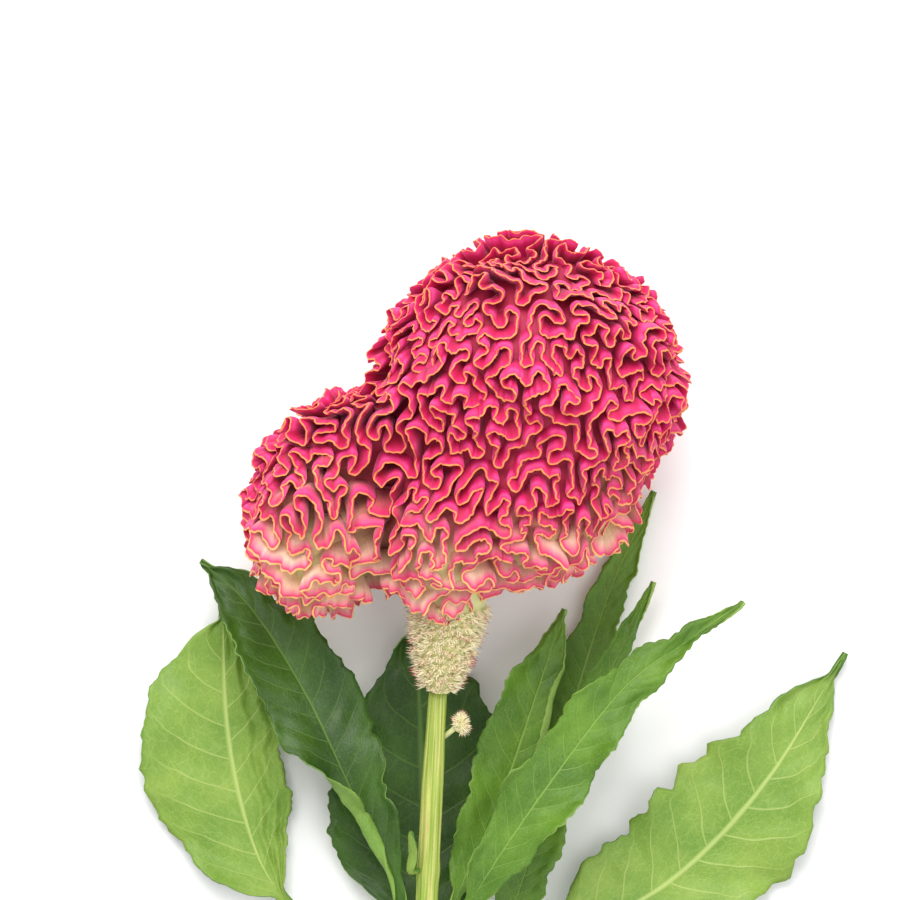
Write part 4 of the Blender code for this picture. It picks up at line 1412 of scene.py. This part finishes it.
@dataclass(frozen=True)
class Leaf:
    """One leaf: a veined, waved blade with a fine toothed margin on a stalk.

    Lengths are in mm, but for the midrib's thickness in metres, and angles in degrees.
    The route of the midrib is given from the neck, in the row's directions, with the
    height above the surface. Left and right are
    as seen from the stem toward the tip. Rise and fall shape the outline before and
    after its widest place, lobing makes it irregular, and the drip is the share of the
    blade that is drawn out to a narrow tip. A curl turns a margin over, from one share
    of the leaf to another, outside curl_inner of the half width.
    """

    node: str
    joint: float
    leaves_at: float
    half_width: float
    stalk: float
    fold: float
    roll: tuple[float, float]
    wave: float
    waves: float
    tone: Tone
    route: tuple[Knot, ...]
    left: float = 1.0
    right: float = 1.0
    rise: float = 0.75
    fall: float = 0.95
    lobing: float = 0.8
    pleat: float = 0.0
    pleats: float = 3.2
    drip: float = 0.04
    curl_left: float = 0.0
    curl_right: float = 0.0
    curl_from: float = 0.3
    curl_to: float = 1.0
    curl_inner: float = 0.45
    vein_spacing: float = 10.0
    quilt: float = 0.084
    tooth: float = 0.45
    tooth_spacing: float = 3.7
    rib_thickness: float = 2.0 * MM
    rib_half: float = 1.2
    thinnest: float = 0.22
    crowding: float = 1.25
    rows: int = 120
    columns: int = 14
    seed: int = 0

    def root(self) -> list[np.ndarray]:
        """Return the first two points of the stalk, beside the stem, in the row frame."""
        distance = self.joint * MM
        angle = math.radians(self.leaves_at)
        outward = Vector((math.cos(angle), 0.0, math.sin(angle)))
        start = stem_radius(distance) + 0.55 * MM
        root = TO_ROW @ (stem_axis(distance) + outward * start)
        ahead = TO_ROW @ (stem_axis(distance - 1.0 * MM) + outward * (start + 3.5 * MM))
        return [np.array(root), np.array(ahead)]

    def side_widths(self, shares: np.ndarray, length: float, side: int) -> np.ndarray:
        """Work out how wide one side of the blade is.

        Args:
            shares: Places along the leaf, from 0 to 1.
            length: The leaf's length in mm.
            side: -1 for the left side and 1 for the right one.

        Returns:
            The half width in mm at each place.
        """
        blade = np.clip((shares - self.stalk) / (1.0 - self.stalk), 0.0, 1.0)
        body = np.minimum(blade / (1.0 - self.drip), 1.0)
        widest = self.rise / (self.rise + self.fall)
        full = ((body / widest) ** self.rise
                * ((1.0 - body) / (1.0 - widest)) ** self.fall)
        way = np.stack([shares * length, np.full(len(shares), 40.0 * side), shares * 0.0], axis=1)
        lobes = (ripple(way, 30.0, seed=50 + self.seed)
                 + 0.7 * ripple(way, 13.0, seed=60 + self.seed)
                 + 0.45 * ripple(way, 4.5, seed=90 + self.seed))
        share = self.left if side < 0 else self.right
        inside = smoothstep(0.0, 0.2, body) * smoothstep(1.0, 0.85, body)
        tail = 0.2 + 1.1 * np.minimum(1.0, (1.0 - blade) / self.drip)
        narrow = np.where(blade > 0.5, np.minimum(tail, 1.3), 1.9 * (1.0 - blade) ** 2)
        narrow = np.minimum(np.maximum(narrow, 0.2), 0.5 * self.half_width)
        return np.maximum(self.half_width * share * full + self.lobing * lobes * inside,
                          0.0) + narrow

    def spine(self, shares: np.ndarray) -> tuple[np.ndarray, np.ndarray, np.ndarray]:
        """Lay the midrib and the directions of the blade along it.

        Args:
            shares: Places along the leaf, from 0 to 1.

        Returns:
            The midrib's points in metres, the directions to the right and those out of
            the upper side.
        """
        neck = np.array((-REST_SPOT[0], -REST_SPOT[1], 0.0))
        knots = self.root() + [neck + np.array(knot) * MM for knot in self.route]
        midrib = smooth_route(knots, shares)
        along = unit(np.gradient(midrib, axis=0))
        side = unit(np.cross(along, (0.0, 0.0, 1.0)))
        face = np.cross(side, along)
        twist = self.twist(shares)
        roll = np.radians(self.roll[0] * (1.0 - twist) ** 2 + self.roll[1] * twist)[:, None]
        across = side * np.cos(roll) + face * np.sin(roll)
        return midrib, across, face * np.cos(roll) - side * np.sin(roll)

    @staticmethod
    def twist(shares: np.ndarray) -> np.ndarray:
        """Return how far the leaf has turned from its root's roll to its blade's."""
        return np.minimum(1.0, shares / 0.3)

    def bend(self, shares: np.ndarray, steps: np.ndarray, way: int) -> np.ndarray:
        """Work out how steeply one side of the blade rises, with its curl.

        Args:
            shares: Places along the leaf, from 0 to 1.
            steps: The columns' shares of the half width.
            way: -1 for the left side and 1 for the right one.

        Returns:
            The angle between each two columns, one row for each place.
        """
        middles = (steps[1:] + steps[:-1]) / 2.0
        curl = math.radians(self.curl_left if way < 0 else self.curl_right)
        bell = (smoothstep(self.curl_from - 0.12, self.curl_from + 0.12, shares)
                * smoothstep(self.curl_to + 0.1, self.curl_to - 0.15, shares))
        rolled = smoothstep(self.curl_inner, self.curl_inner + 0.5, middles)
        lift = math.radians(self.fold) * self.twist(shares)
        return lift[:, None] + curl * bell[:, None] * rolled[None, :]

    def half_blade(self, shares: np.ndarray, steps: np.ndarray, length: float,
                   way: int) -> tuple[np.ndarray, np.ndarray]:
        """Shape one side of the blade: its outline, curl, waves, quilting and teeth.

        Args:
            shares: Places along the leaf, from 0 to 1.
            steps: The columns' shares of the half width.
            length: The leaf's length in mm.
            way: -1 for the left side and 1 for the right one.

        Returns:
            How far to the right and how high each point lies, in mm.
        """
        width = self.side_widths(shares, length, way)
        angle = self.bend(shares, steps, way)
        gaps = np.diff(steps)[None, :] * width[:, None]
        out = np.cumsum(gaps * np.cos(angle), axis=1)
        rise = np.cumsum(gaps * np.sin(angle), axis=1)
        x = steps[1:][None, :]
        travelled = (shares * length)[:, None] + x * 0.0
        flat = np.stack([travelled.ravel(), (x * 30.0 * way + travelled * 0.0).ravel(),
                         travelled.ravel() * 0.0], axis=1)
        frill = ripple(flat, 17.0, seed=70 + self.seed).reshape(travelled.shape)
        swell = ripple(flat, 24.0, seed=80 + self.seed).reshape(travelled.shape)
        blade = smoothstep(self.stalk * 0.8, self.stalk + 0.12, shares)[:, None]
        phase = math.tau * self.waves * shares[:, None] + (1.3 if way > 0 else 0.0)
        wave = self.wave * x ** 2 * np.sin(phase) * np.sin(math.pi * shares)[:, None] ** 0.5
        wave = wave + self.wave * (0.5 * x ** 3 * frill + 0.45 * x * swell) * blade
        if way > 0 and self.pleat:
            creases = np.cos(math.tau * self.pleats * x + 0.6 * swell)
            wave = wave + self.pleat * (creases * smoothstep(0.05, 0.4, x[0])) * blade
        vein = (travelled / self.vein_spacing - x * (VEIN_SLANT + VEIN_SWEEP * x)
                + VEIN_SHIFT * way)
        relief = self.quilt * (-1.0 if self.tone is Tone.PALE else 1.0)
        quilt = (relief * self.vein_spacing * np.cos(math.tau * vein) * x * (1.15 - x)) * blade
        saw = np.mod(travelled / self.tooth_spacing + 0.35 * frill, 1.0) - 0.5
        tooth = self.tooth * saw * x ** 8 * blade
        return (out + tooth) * way, rise + wave + quilt

    def build(self) -> None:
        """Build the leaf's blade and stalk from its two sides."""
        shares = np.linspace(0.0, 1.0, self.rows + 1)
        steps = np.linspace(0.0, 1.0, self.columns + 1) ** self.crowding
        midrib, across, face = self.spine(shares)
        length = float(np.linalg.norm(np.diff(midrib, axis=0), axis=1).sum()) / MM
        left, right = (self.half_blade(shares, steps, length, way) for way in (-1, 1))
        zero = np.zeros((len(shares), 1))
        outs, rises = (np.concatenate([one[:, ::-1], zero, other], axis=1)
                       for one, other in zip(left, right))
        places = (midrib[:, None, :] + across[:, None, :] * outs[..., None] * MM
                  + face[:, None, :] * rises[..., None] * MM)
        thick = self.rib_share(outs, shares)
        below = self.rib_thickness * (self.thinnest + (1.0 - self.thinnest) * thick) * 0.8
        places[..., 2] = np.maximum(places[..., 2], below + 0.15 * MM)
        self.skin(places, outs, steps, shares * length)

    def rib_share(self, outs: np.ndarray, shares: np.ndarray) -> np.ndarray:
        """Return how much of the midrib's thickness a leaf has at its points.

        Args:
            outs: Each point's way from the midrib in mm.
            shares: Each row's share of the way along the leaf.

        Returns:
            A share from 0 in the thin blade to 1 in the stalk.
        """
        blade_share = smoothstep(self.stalk, self.stalk + 0.5, shares)
        return np.exp(-(outs / self.rib_half) ** 2) * (1.0 - 0.55 * blade_share[:, None])

    def skin(self, places: np.ndarray, outs: np.ndarray, steps: np.ndarray,
             travelled: np.ndarray) -> None:
        """Lay a grid over the leaf's places, thicken it, dress it and hand it in.

        Args:
            places: The grid's points in metres.
            outs: Each point's way from the midrib in mm.
            steps: The columns' shares of the half width.
            travelled: The rows' way along the midrib in mm.
        """
        deselect_all()
        bpy.ops.mesh.primitive_grid_add(x_subdivisions=2 * self.columns, y_subdivisions=self.rows)
        blade = bpy.context.object
        blade.name = f"{self.node}_blade"
        write_points(blade, places.reshape(-1, 3))
        wide = np.concatenate([-steps[:0:-1], steps])
        lay_map(blade, "leaf_map", (wide + 1.0) / 2.0, travelled / self.vein_spacing)
        rib = blade.vertex_groups.new(name="rib")
        thick = self.rib_share(outs, travelled / travelled[-1])
        for index, weight in enumerate(thick.ravel()):
            rib.add([index], float(weight), "REPLACE")
        blade.data.materials.append(LEAF_UPPER[self.tone].make())
        blade.data.materials.append(LEAF_UNDER[self.tone].make())
        solid = blade.modifiers.new("thickness", "SOLIDIFY")
        solid.thickness = self.rib_thickness
        solid.offset = -0.6
        solid.vertex_group = "rib"
        solid.thickness_vertex_group = self.thinnest
        solid.material_offset = 1
        solid.material_offset_rim = 1
        apply_modifiers(blade)
        blade.data.shade_smooth()
        hand_in(blade, self.node)


LEAVES = (
    # The leaf under the comb is dark green, partly its own tone and partly painted shade for the
    # comb above it.
    Leaf("leaf_under", 85, 270, 31, 0.1, 7, (0, 0), 2.2, 3, Tone.DARK,
         ((-4.5, -72, 11), (-5, -45, 5.5), (-6, -10, 4.5), (-8, 24, 9)), vein_spacing=13,
         rise=0.65, lobing=1.4, seed=1),
    Leaf("leaf_left_pale", 105, 185, 23, 0.38, 6, (90, 0), 2.0, 3, Tone.PALE,
         ((-20, -96, 15), (-40, -82, 8.5), (-59, -58, 5.5), (-69.5, -18, 5), (-72, 27, 5)),
         vein_spacing=11, left=1.25, right=0.72, rise=0.8, fall=0.75, lobing=1.0, pleat=0.9,
         columns=20, seed=2),
    Leaf("leaf_left_dark", 78, 160, 15.5, 0.14, 14, (60, -14), 2.2, 3, Tone.DARK,
         ((-14, -62, 27), (-30, -30, 27), (-44, -1, 23), (-62, 27, 17.5), (-79, 43, 15)),
         curl_left=150, curl_from=0.1, curl_to=0.42, curl_inner=0.2, vein_spacing=9, rise=0.85,
         fall=0.75, lobing=1.3, seed=3),
    Leaf("leaf_right_inner", 80, 335, 12, 0.14, 12, (-65, 0), 1.8, 3, Tone.MID,
         ((7, -66, 20.5), (20.5, -36, 20.5), (33, 0, 20), (42, 27, 17)), vein_spacing=8,
         curl_right=140, curl_from=0.35, curl_to=0.9, seed=4),
    Leaf("leaf_right_long", 93, 25, 10.5, 0.18, 14, (-65, 0), 2.4, 5, Tone.MID,
         ((6, -78, 29), (27, -44, 36), (60, 0, 37), (84, 18, 31), (101, 29.4, 24)),
         vein_spacing=8, rise=0.8, fall=1.35, lobing=1.2, seed=5),
    Leaf("leaf_right_narrow", 112, 350, 8, 0.2, 12, (-80, 0), 1.4, 4, Tone.MID,
         ((18, -90, 17.5), (42, -24, 15.5), (59, 10, 14.5), (71.6, 36, 13)), vein_spacing=6.5,
         fall=1.2, seed=6),
    Leaf("leaf_behind", 101, 330, 8.5, 0.2, 8, (-60, 0), 1.0, 3, Tone.MID,
         ((20, -80, 14), (40, -22, 6.5), (55, 26, 4), (72, 66, 4)), vein_spacing=6.5, seed=7),
    Leaf("leaf_right_broad", 121, 5, 23, 0.3, 6, (-90, 0), 3.0, 4, Tone.PALE,
         ((14, -110, 12), (42, -86, 7), (80, -62, 5.5), (110, -30, 6), (136, 12, 3.5)),
         vein_spacing=12, left=1.05, right=0.95, rise=0.62, fall=0.85, lobing=1.8, drip=0.07,
         seed=8),
    Leaf("leaf_low_right", 151, 0, 16, 0.2, 8, (-90, 0), 1.8, 3, Tone.MID,
         ((16, -142, 11), (50, -116, 5.5), (86, -90, 1.5)), vein_spacing=9, lobing=1.3, seed=9),
    Leaf("leaf_low_left", 140, 180, 16, 0.2, 8, (90, 0), 1.8, 3, Tone.MID,
         ((-24, -131, 11), (-55, -108, 5.5), (-84, -86, 1.5)), vein_spacing=9, lobing=1.3,
         seed=10),
    Leaf("leaf_foot_right", 172, 350, 11, 0.22, 10, (-80, 0), 1.4, 2, Tone.MID,
         ((8, -166, 9.5), (30, -152, 5), (54, -142, 1.5)), vein_spacing=7, rows=64, columns=10,
         seed=11),
    Leaf("leaf_foot_left", 163, 190, 12, 0.2, 10, (80, 0), 1.4, 2, Tone.MID,
         ((-22, -158, 9.5), (-44, -146, 5), (-66, -138, 1.5)), vein_spacing=7, rows=64,
         columns=10, seed=12),
    Leaf("bract", 60, 140, 1.3, 0.1, 0, (80, 40), 0, 0, Tone.PALE,
         ((-8.3, -53.5, 31.5), (-9.3, -46, 33)), vein_spacing=4, tooth=0.1, rows=24, columns=5,
         lobing=0.0, seed=13),
)


@dataclass
class Stem:
    """The ribbed stalk with its slightly swollen leaf joints and its cut foot.

    The cut lists, from the skin to the middle, the rings of the cut end: each one's
    share of the foot's radius and how far it lies in from the end, in mm.
    """

    ribs: int = 11
    sides: int = 88
    rings: int = 110
    rib_depth: float = 0.3 * MM
    swelling: float = 0.35 * MM
    swelling_length: float = 3.0 * MM
    gap: float = 0.3 * MM
    cut: tuple[tuple[float, float], ...] = ((0.93, 0.25), (0.8, 0.1), (0.45, 0.3), (0.0, 0.5))
    cut_depth: float = 0.6 * MM

    def ring_at(self, distance: float, joints: np.ndarray) -> np.ndarray:
        """Lay one ring of the skin.

        Args:
            distance: Its distance below the neck.
            joints: The distances of the leaf joints.

        Returns:
            Its points in the head frame, in metres.
        """
        turn = np.linspace(0.0, math.tau, self.sides, endpoint=False)
        swelling = self.swelling * np.exp(-((distance - joints) / self.swelling_length) ** 2).max()
        wander = 0.25 * math.sin(distance / (31.0 * MM))
        ridge = np.cos(self.ribs * (turn + wander)) * 0.5 - 0.5
        low_ridge = 0.25 * np.cos(self.ribs * 3 * (turn + wander * 0.7) + 1.0)
        radius = stem_radius(distance) + swelling + self.rib_depth * (ridge + low_ridge)
        ring = np.stack([np.cos(turn) * radius, turn * 0.0, np.sin(turn) * radius], axis=1)
        return ring + np.array(stem_axis(distance))

    def build(self) -> None:
        """Build the stalk as a skin over ribbed rings, closed at both ends."""
        joints = np.array([leaf.joint * MM for leaf in LEAVES])
        rings = [self.ring_at(distance, joints)
                 for distance in np.linspace(self.gap, STEM_LENGTH, self.rings)]
        edge = rings[-1]
        foot = edge.mean(axis=0)
        for share, sink in self.cut:
            rings.append(foot + (edge - foot) * share + np.array((0.0, sink * MM, 0.0)))
        rings.insert(0, np.repeat(rings[0].mean(axis=0)[None], self.sides, axis=0))
        placed = carry(TO_ROW, np.array(rings))
        placed[..., 2] = np.maximum(placed[..., 2], 0.1 * MM)
        across = np.linspace(0.0, STEM_LENGTH / (10.0 * MM), len(rings))
        stem = loft("stem_skin", placed, "stem_map", across, np.linspace(0.0, 1.0, self.sides + 1))
        finish = StemFinish()
        stem.data.materials.append(finish.make())
        stem.data.materials.append(finish.make_cut())
        end = (TO_ROW @ stem_axis(STEM_LENGTH)).y
        for polygon in stem.data.polygons:
            polygon.material_index = int(polygon.center.y < end + self.cut_depth
                                         and abs(polygon.normal.y) > 0.6)
        stem.data.shade_smooth()
        hand_in(stem, "stem")


@dataclass
class Florets:
    """The bristly florets: one bunch of papery points, copied at every place."""

    seed: int
    points: int = 6
    length: float = 3.6 * MM
    foot_radius: float = 0.42 * MM
    waist_radius: float = 0.3 * MM
    waist: float = 0.45
    flatness: float = 0.45

    def point(self, number: int) -> bpy.types.Object:
        """Build one of the floret's points, flat, curved and leaning outward.

        Args:
            number: Which one it is. The first stands nearly upright.

        Returns:
            The point, with the attribute tip from its foot to its end.
        """
        deselect_all()
        height = self.length * self.waist
        bpy.ops.mesh.primitive_cone_add(vertices=4, radius1=self.foot_radius,
                                        radius2=self.waist_radius, depth=height,
                                        end_fill_type="NOTHING", location=(0.0, 0.0, height / 2.0))
        blade = bpy.context.object
        bpy.ops.object.mode_set(mode="EDIT")
        bpy.ops.mesh.select_all(action="DESELECT")
        bpy.ops.object.mode_set(mode="OBJECT")
        for vertex in blade.data.vertices:
            vertex.select = vertex.co.z > 0.0
        bpy.ops.object.mode_set(mode="EDIT")
        bpy.ops.mesh.extrude_region_move(
            TRANSFORM_OT_translate={"value": (0.0, 0.0, self.length - height)})
        bpy.ops.mesh.merge(type="CENTER")
        bpy.ops.object.mode_set(mode="OBJECT")
        settle(blade)
        points = read_points(blade)
        share = points[:, 2] / self.length
        lean = 0.75 if number else 0.1
        points[:, 1] *= self.flatness
        points[:, 1] += self.length * lean * share ** 0.8 * 0.55
        points[:, 2] *= 1.0 - 0.2 * (number % 3)
        turn = Matrix.Rotation(math.tau * number / self.points, 3, "Z")
        write_points(blade, points @ np.array(turn).T)
        tip = blade.data.attributes.new("tip", "FLOAT", "POINT")
        tip.data.foreach_set("value", share)
        return blade

    def scatter(self, places: list[tuple[Vector, Vector, float]]) -> list[bpy.types.Object]:
        """Build a floret that stands on the origin and copy it to many places.

        Args:
            places: For each copy its foot, the way it points and its size.

        Returns:
            The copies, each with a mesh of its own.
        """
        template = join([self.point(number) for number in range(self.points)], "floret")
        draw = random.Random(self.seed)
        copies = []
        for foot, aim, size in places:
            mesh = template.data.copy()
            turn = aim.to_track_quat("Z", "Y").to_matrix().to_4x4()
            mesh.transform(Matrix.Translation(foot) @ turn
                           @ Matrix.Rotation(draw.uniform(0.0, math.tau), 4, "Z")
                           @ Matrix.Scale(size, 4))
            flush = mesh.attributes.new("flush", "FLOAT", "POINT")
            redness = max(0.0, draw.uniform(-1.0, 1.25))
            flush.data.foreach_set("value", [redness] * len(mesh.vertices))
            copy = bpy.data.objects.new("floret", mesh)
            bpy.context.scene.collection.objects.link(copy)
            copies.append(copy)
        bpy.data.objects.remove(template, do_unlink=True)
        return copies

    @staticmethod
    def dress(piece: bpy.types.Object) -> None:
        """Give a piece that carries florets their finish alone."""
        piece.data.materials.clear()
        piece.data.materials.append(FloretFinish().make())
        piece.data.shade_smooth()


@dataclass
class Collar:
    """The tapered collar between the stalk and the comb, set with bristly florets.

    The profile lists its radius and the height above its foot in mm. The body and the
    florets' feet lie a little inside it.
    """

    axis: Knot = (0.13, 1.0, 0.07)
    profile: tuple[tuple[float, float], ...] = ((5.6, 0.0), (8.8, 6.0), (11.4, 14.0),
                                                (13.6, 24.0), (15.2, 33.0), (15.2, 44.0))
    flatness: float = 0.86
    gap: float = 0.3 * MM
    body_inset: float = 1.2
    foot_inset: float = 1.1
    bumps: float = 0.35
    sides: int = 48
    rings: int = 34
    count: int = 430
    bare_from: float = 31.0
    seed: int = 17

    def matrix(self) -> Matrix:
        """Return the matrix that stands a shape along the collar's axis, in the row frame."""
        axis = Vector(self.axis).normalized()
        return (TO_ROW @ Matrix.Translation((0.0, self.gap, 0.0))
                @ axis.to_track_quat("Z", "X").to_matrix().to_4x4())

    def radius_at(self, height: float) -> float:
        """Return the collar's radius at a height above its foot, both in mm."""
        return float(np.interp(height, [h for _, h in self.profile], [r for r, _ in self.profile]))

    def build_body(self) -> bpy.types.Object:
        """Build the body as a skin over slightly bumpy rings, closed at both ends.

        Returns:
            The body.
        """
        turn = np.linspace(0.0, math.tau, self.sides, endpoint=False)
        heights = np.linspace(0.0, self.profile[-1][1], self.rings)
        rings = [np.zeros((self.sides, 3))]
        for height in heights:
            wave = np.cos(9 * turn + height * 0.9) * np.cos(5 * turn - height * 0.7)
            radius = self.radius_at(height) - self.body_inset + self.bumps * wave
            rings.append(np.stack([np.cos(turn) * radius, np.sin(turn) * radius * self.flatness,
                                   turn * 0.0 + height], axis=1) * MM)
        rings.append(np.repeat([[0.0, 0.0, heights[-1] * MM]], self.sides, axis=0))
        return loft("collar_body", carry(self.matrix(), np.array(rings)), "collar_map",
                    np.linspace(0.0, self.profile[-1][1] / 10.0, len(rings)),
                    np.linspace(0.0, 1.0, self.sides + 1))

    def floret_places(self) -> list[tuple[Vector, Vector, float]]:
        """Spread the florets over the collar, more upright at its foot.

        Returns:
            For each floret its foot, the way it points and its size.
        """
        matrix = self.matrix()
        draw = random.Random(self.seed)
        places = []
        for number in range(self.count):
            share = (number + 0.5) / self.count
            height = self.bare_from * (0.01 + 0.97 * share ** 0.8) + draw.uniform(-0.6, 0.6)
            height = max(0.3, height)
            angle = number * GOLDEN_ANGLE
            radius = self.radius_at(height) - self.foot_inset
            foot = Vector((math.cos(angle) * radius, math.sin(angle) * radius * self.flatness,
                           height)) * MM
            rise = 0.25 - 0.55 * share + draw.uniform(-0.45, 0.45)
            aim = Vector((math.cos(angle + draw.uniform(-0.3, 0.3)),
                          math.sin(angle + draw.uniform(-0.3, 0.3)), rise))
            places.append((matrix @ foot, matrix.to_3x3() @ aim, draw.uniform(0.75, 1.25)))
        return places

    def build(self) -> None:
        """Build the collar's body and its florets as one piece."""
        body = self.build_body()
        piece = join([body, *Florets(seed=41).scatter(self.floret_places())], "collar_florets")
        Florets.dress(piece)
        hand_in(piece, "collar")


@dataclass
class SideBud:
    """The small tuft of florets on a short stalk beside the stem.

    Its middle and radii are in mm, and the ball and the florets' feet lie at the inner
    shares of the radii.
    """

    joint: float = 15.0 * MM
    middle: Knot = (7.4, -10.6, 0.8)
    radii: Knot = (3.0, 4.4, 2.8)
    ball_share: float = 0.72
    foot_share: float = 0.6
    stalk_radius: float = 0.9 * MM
    stalk_sink: float = 0.4 * MM
    count: int = 46
    seed: int = 23

    def floret_places(self, middle: Vector, turn: Matrix) -> list[tuple[Vector, Vector, float]]:
        """Spread the florets over the tuft, bare where the stalk comes in.

        Args:
            middle: The tuft's middle in metres.
            turn: The matrix that turns upright to the stalk's direction.

        Returns:
            For each floret its foot, the way it points and its size.
        """
        draw = random.Random(self.seed)
        places = []
        for number in range(self.count):
            height = 1.0 - 1.55 * (number + 0.5) / self.count
            flat = math.sqrt(1.0 - height ** 2)
            angle = number * GOLDEN_ANGLE
            ray = turn @ Vector((flat * math.cos(angle), flat * math.sin(angle), height))
            foot = middle + Vector([a * b * self.foot_share * MM for a, b in zip(ray, self.radii)])
            aim = ray + Vector([draw.uniform(-0.35, 0.35) for _ in range(3)])
            places.append((foot, aim, draw.uniform(0.55, 0.85)))
        return places

    def build(self) -> None:
        """Build the tuft's ball, its stalk and its florets as one piece."""
        middle = Vector(self.middle) * MM
        out = stem_radius(self.joint) - self.stalk_sink
        foot = stem_axis(self.joint) + Vector((out, 0.0, 0.0))
        turn = (middle - foot).normalized().to_track_quat("Z", "Y").to_matrix()
        deselect_all()
        bpy.ops.mesh.primitive_ico_sphere_add(subdivisions=3, radius=1.0)
        ball = bpy.context.object
        ball.data.transform(Matrix.Diagonal((*(Vector(self.radii) * self.ball_share * MM), 1.0)))
        ball.data.transform(Matrix.Translation(middle))
        deselect_all()
        bpy.ops.mesh.primitive_cylinder_add(vertices=16, radius=self.stalk_radius,
                                            depth=(middle - foot).length)
        stalk = bpy.context.object
        stalk.data.transform(Matrix.Translation((middle + foot) / 2.0) @ turn.to_4x4())
        copies = Florets(seed=43).scatter(self.floret_places(middle, turn))
        piece = join([ball, stalk, *copies], "side_bud_florets")
        piece.data.transform(TO_ROW)
        Florets.dress(piece)
        hand_in(piece, "side_bud")


@dataclass(frozen=True)
class Light:
    """One square soft light: its power in watts, the length of its side and its place."""

    name: str
    power: float
    size: float
    place: Knot
    aim: Knot

    def build(self) -> None:
        """Hang the light where it stands and point it at its aim."""
        light = bpy.data.lights.new(self.name, "AREA")
        light.energy = self.power
        light.size = self.size
        lamp = bpy.data.objects.new(self.name, light)
        lamp.location = self.place
        way = Vector(self.aim) - Vector(self.place)
        lamp.rotation_euler = way.to_track_quat("-Z", "Y").to_euler()
        bpy.context.scene.collection.objects.link(lamp)


@dataclass
class Studio:
    """The pale floor, soft lights and the camera that looks straight down.

    The field is as wide as the photo at the height of the flower's middle.
    """

    floor_size: float = 6.0
    floor_drop: float = 0.2 * MM
    floor_grey: float = 0.93
    sky: float = 0.88
    field_width: float = 297.0 * MM
    view_middle: tuple[float, float] = (-15.04 * MM, -10.14 * MM)
    focus_height: float = 35.0 * MM
    camera_height: float = 2.6
    sensor_width: float = 36.0
    lights: tuple[Light, ...] = (
        Light("key", power=24.0, size=1.1, place=(-0.25, 1.0, 1.5), aim=(0.0, -0.05, 0.03)),
        Light("fill", power=8.0, size=1.4, place=(0.9, -0.7, 1.4), aim=(0.0, -0.1, 0.03)),
        Light("crown", power=6.0, size=0.9, place=(0.1, 1.25, 0.6), aim=(0.0, 0.02, 0.04)))

    def build_floor(self) -> None:
        """Lay the floor just under the flower."""
        deselect_all()
        bpy.ops.mesh.primitive_plane_add(size=self.floor_size,
                                         location=(0.0, 0.0, -self.floor_drop))
        floor = bpy.context.object
        floor.name = "floor"
        settle(floor)
        paper = bpy.data.materials.new("floor_paper")
        paper.use_nodes = True
        shader = paper.node_tree.nodes["Principled BSDF"]
        shader.inputs["Base Color"].default_value = (*(self.floor_grey,) * 3, 1.0)
        shader.inputs["Roughness"].default_value = 0.9
        floor.data.materials.append(paper)

    def build_camera(self) -> None:
        """Set up the camera, as far off as its height above the flower's middle."""
        camera = bpy.data.cameras.new("camera")
        camera.sensor_width = self.sensor_width
        distance = self.camera_height - self.focus_height
        camera.lens = camera.sensor_width * distance / self.field_width
        camera.clip_end = 20.0
        holder = bpy.data.objects.new("camera", camera)
        holder.location = (*self.view_middle, self.camera_height)
        bpy.context.scene.collection.objects.link(holder)
        bpy.context.scene.camera = holder

    def build(self) -> None:
        """Build the floor, lights, surroundings and camera."""
        self.build_floor()
        for light in self.lights:
            light.build()
        world = bpy.data.worlds.new("soft_room")
        world.use_nodes = True
        sky = world.node_tree.nodes["Background"]
        sky.inputs["Color"].default_value = (1.0, 1.0, 1.0, 1.0)
        sky.inputs["Strength"].default_value = self.sky
        bpy.context.scene.world = world
        self.build_camera()
        bpy.context.scene.view_settings.view_transform = "Standard"


def main() -> None:
    """Build the flower and the room around it, piece by piece."""
    Studio().build()
    Stem().build()
    Collar().build()
    SideBud().build()
    for leaf in LEAVES:
        leaf.build()
    Comb().build()


if __name__ == "__main__":
    main()
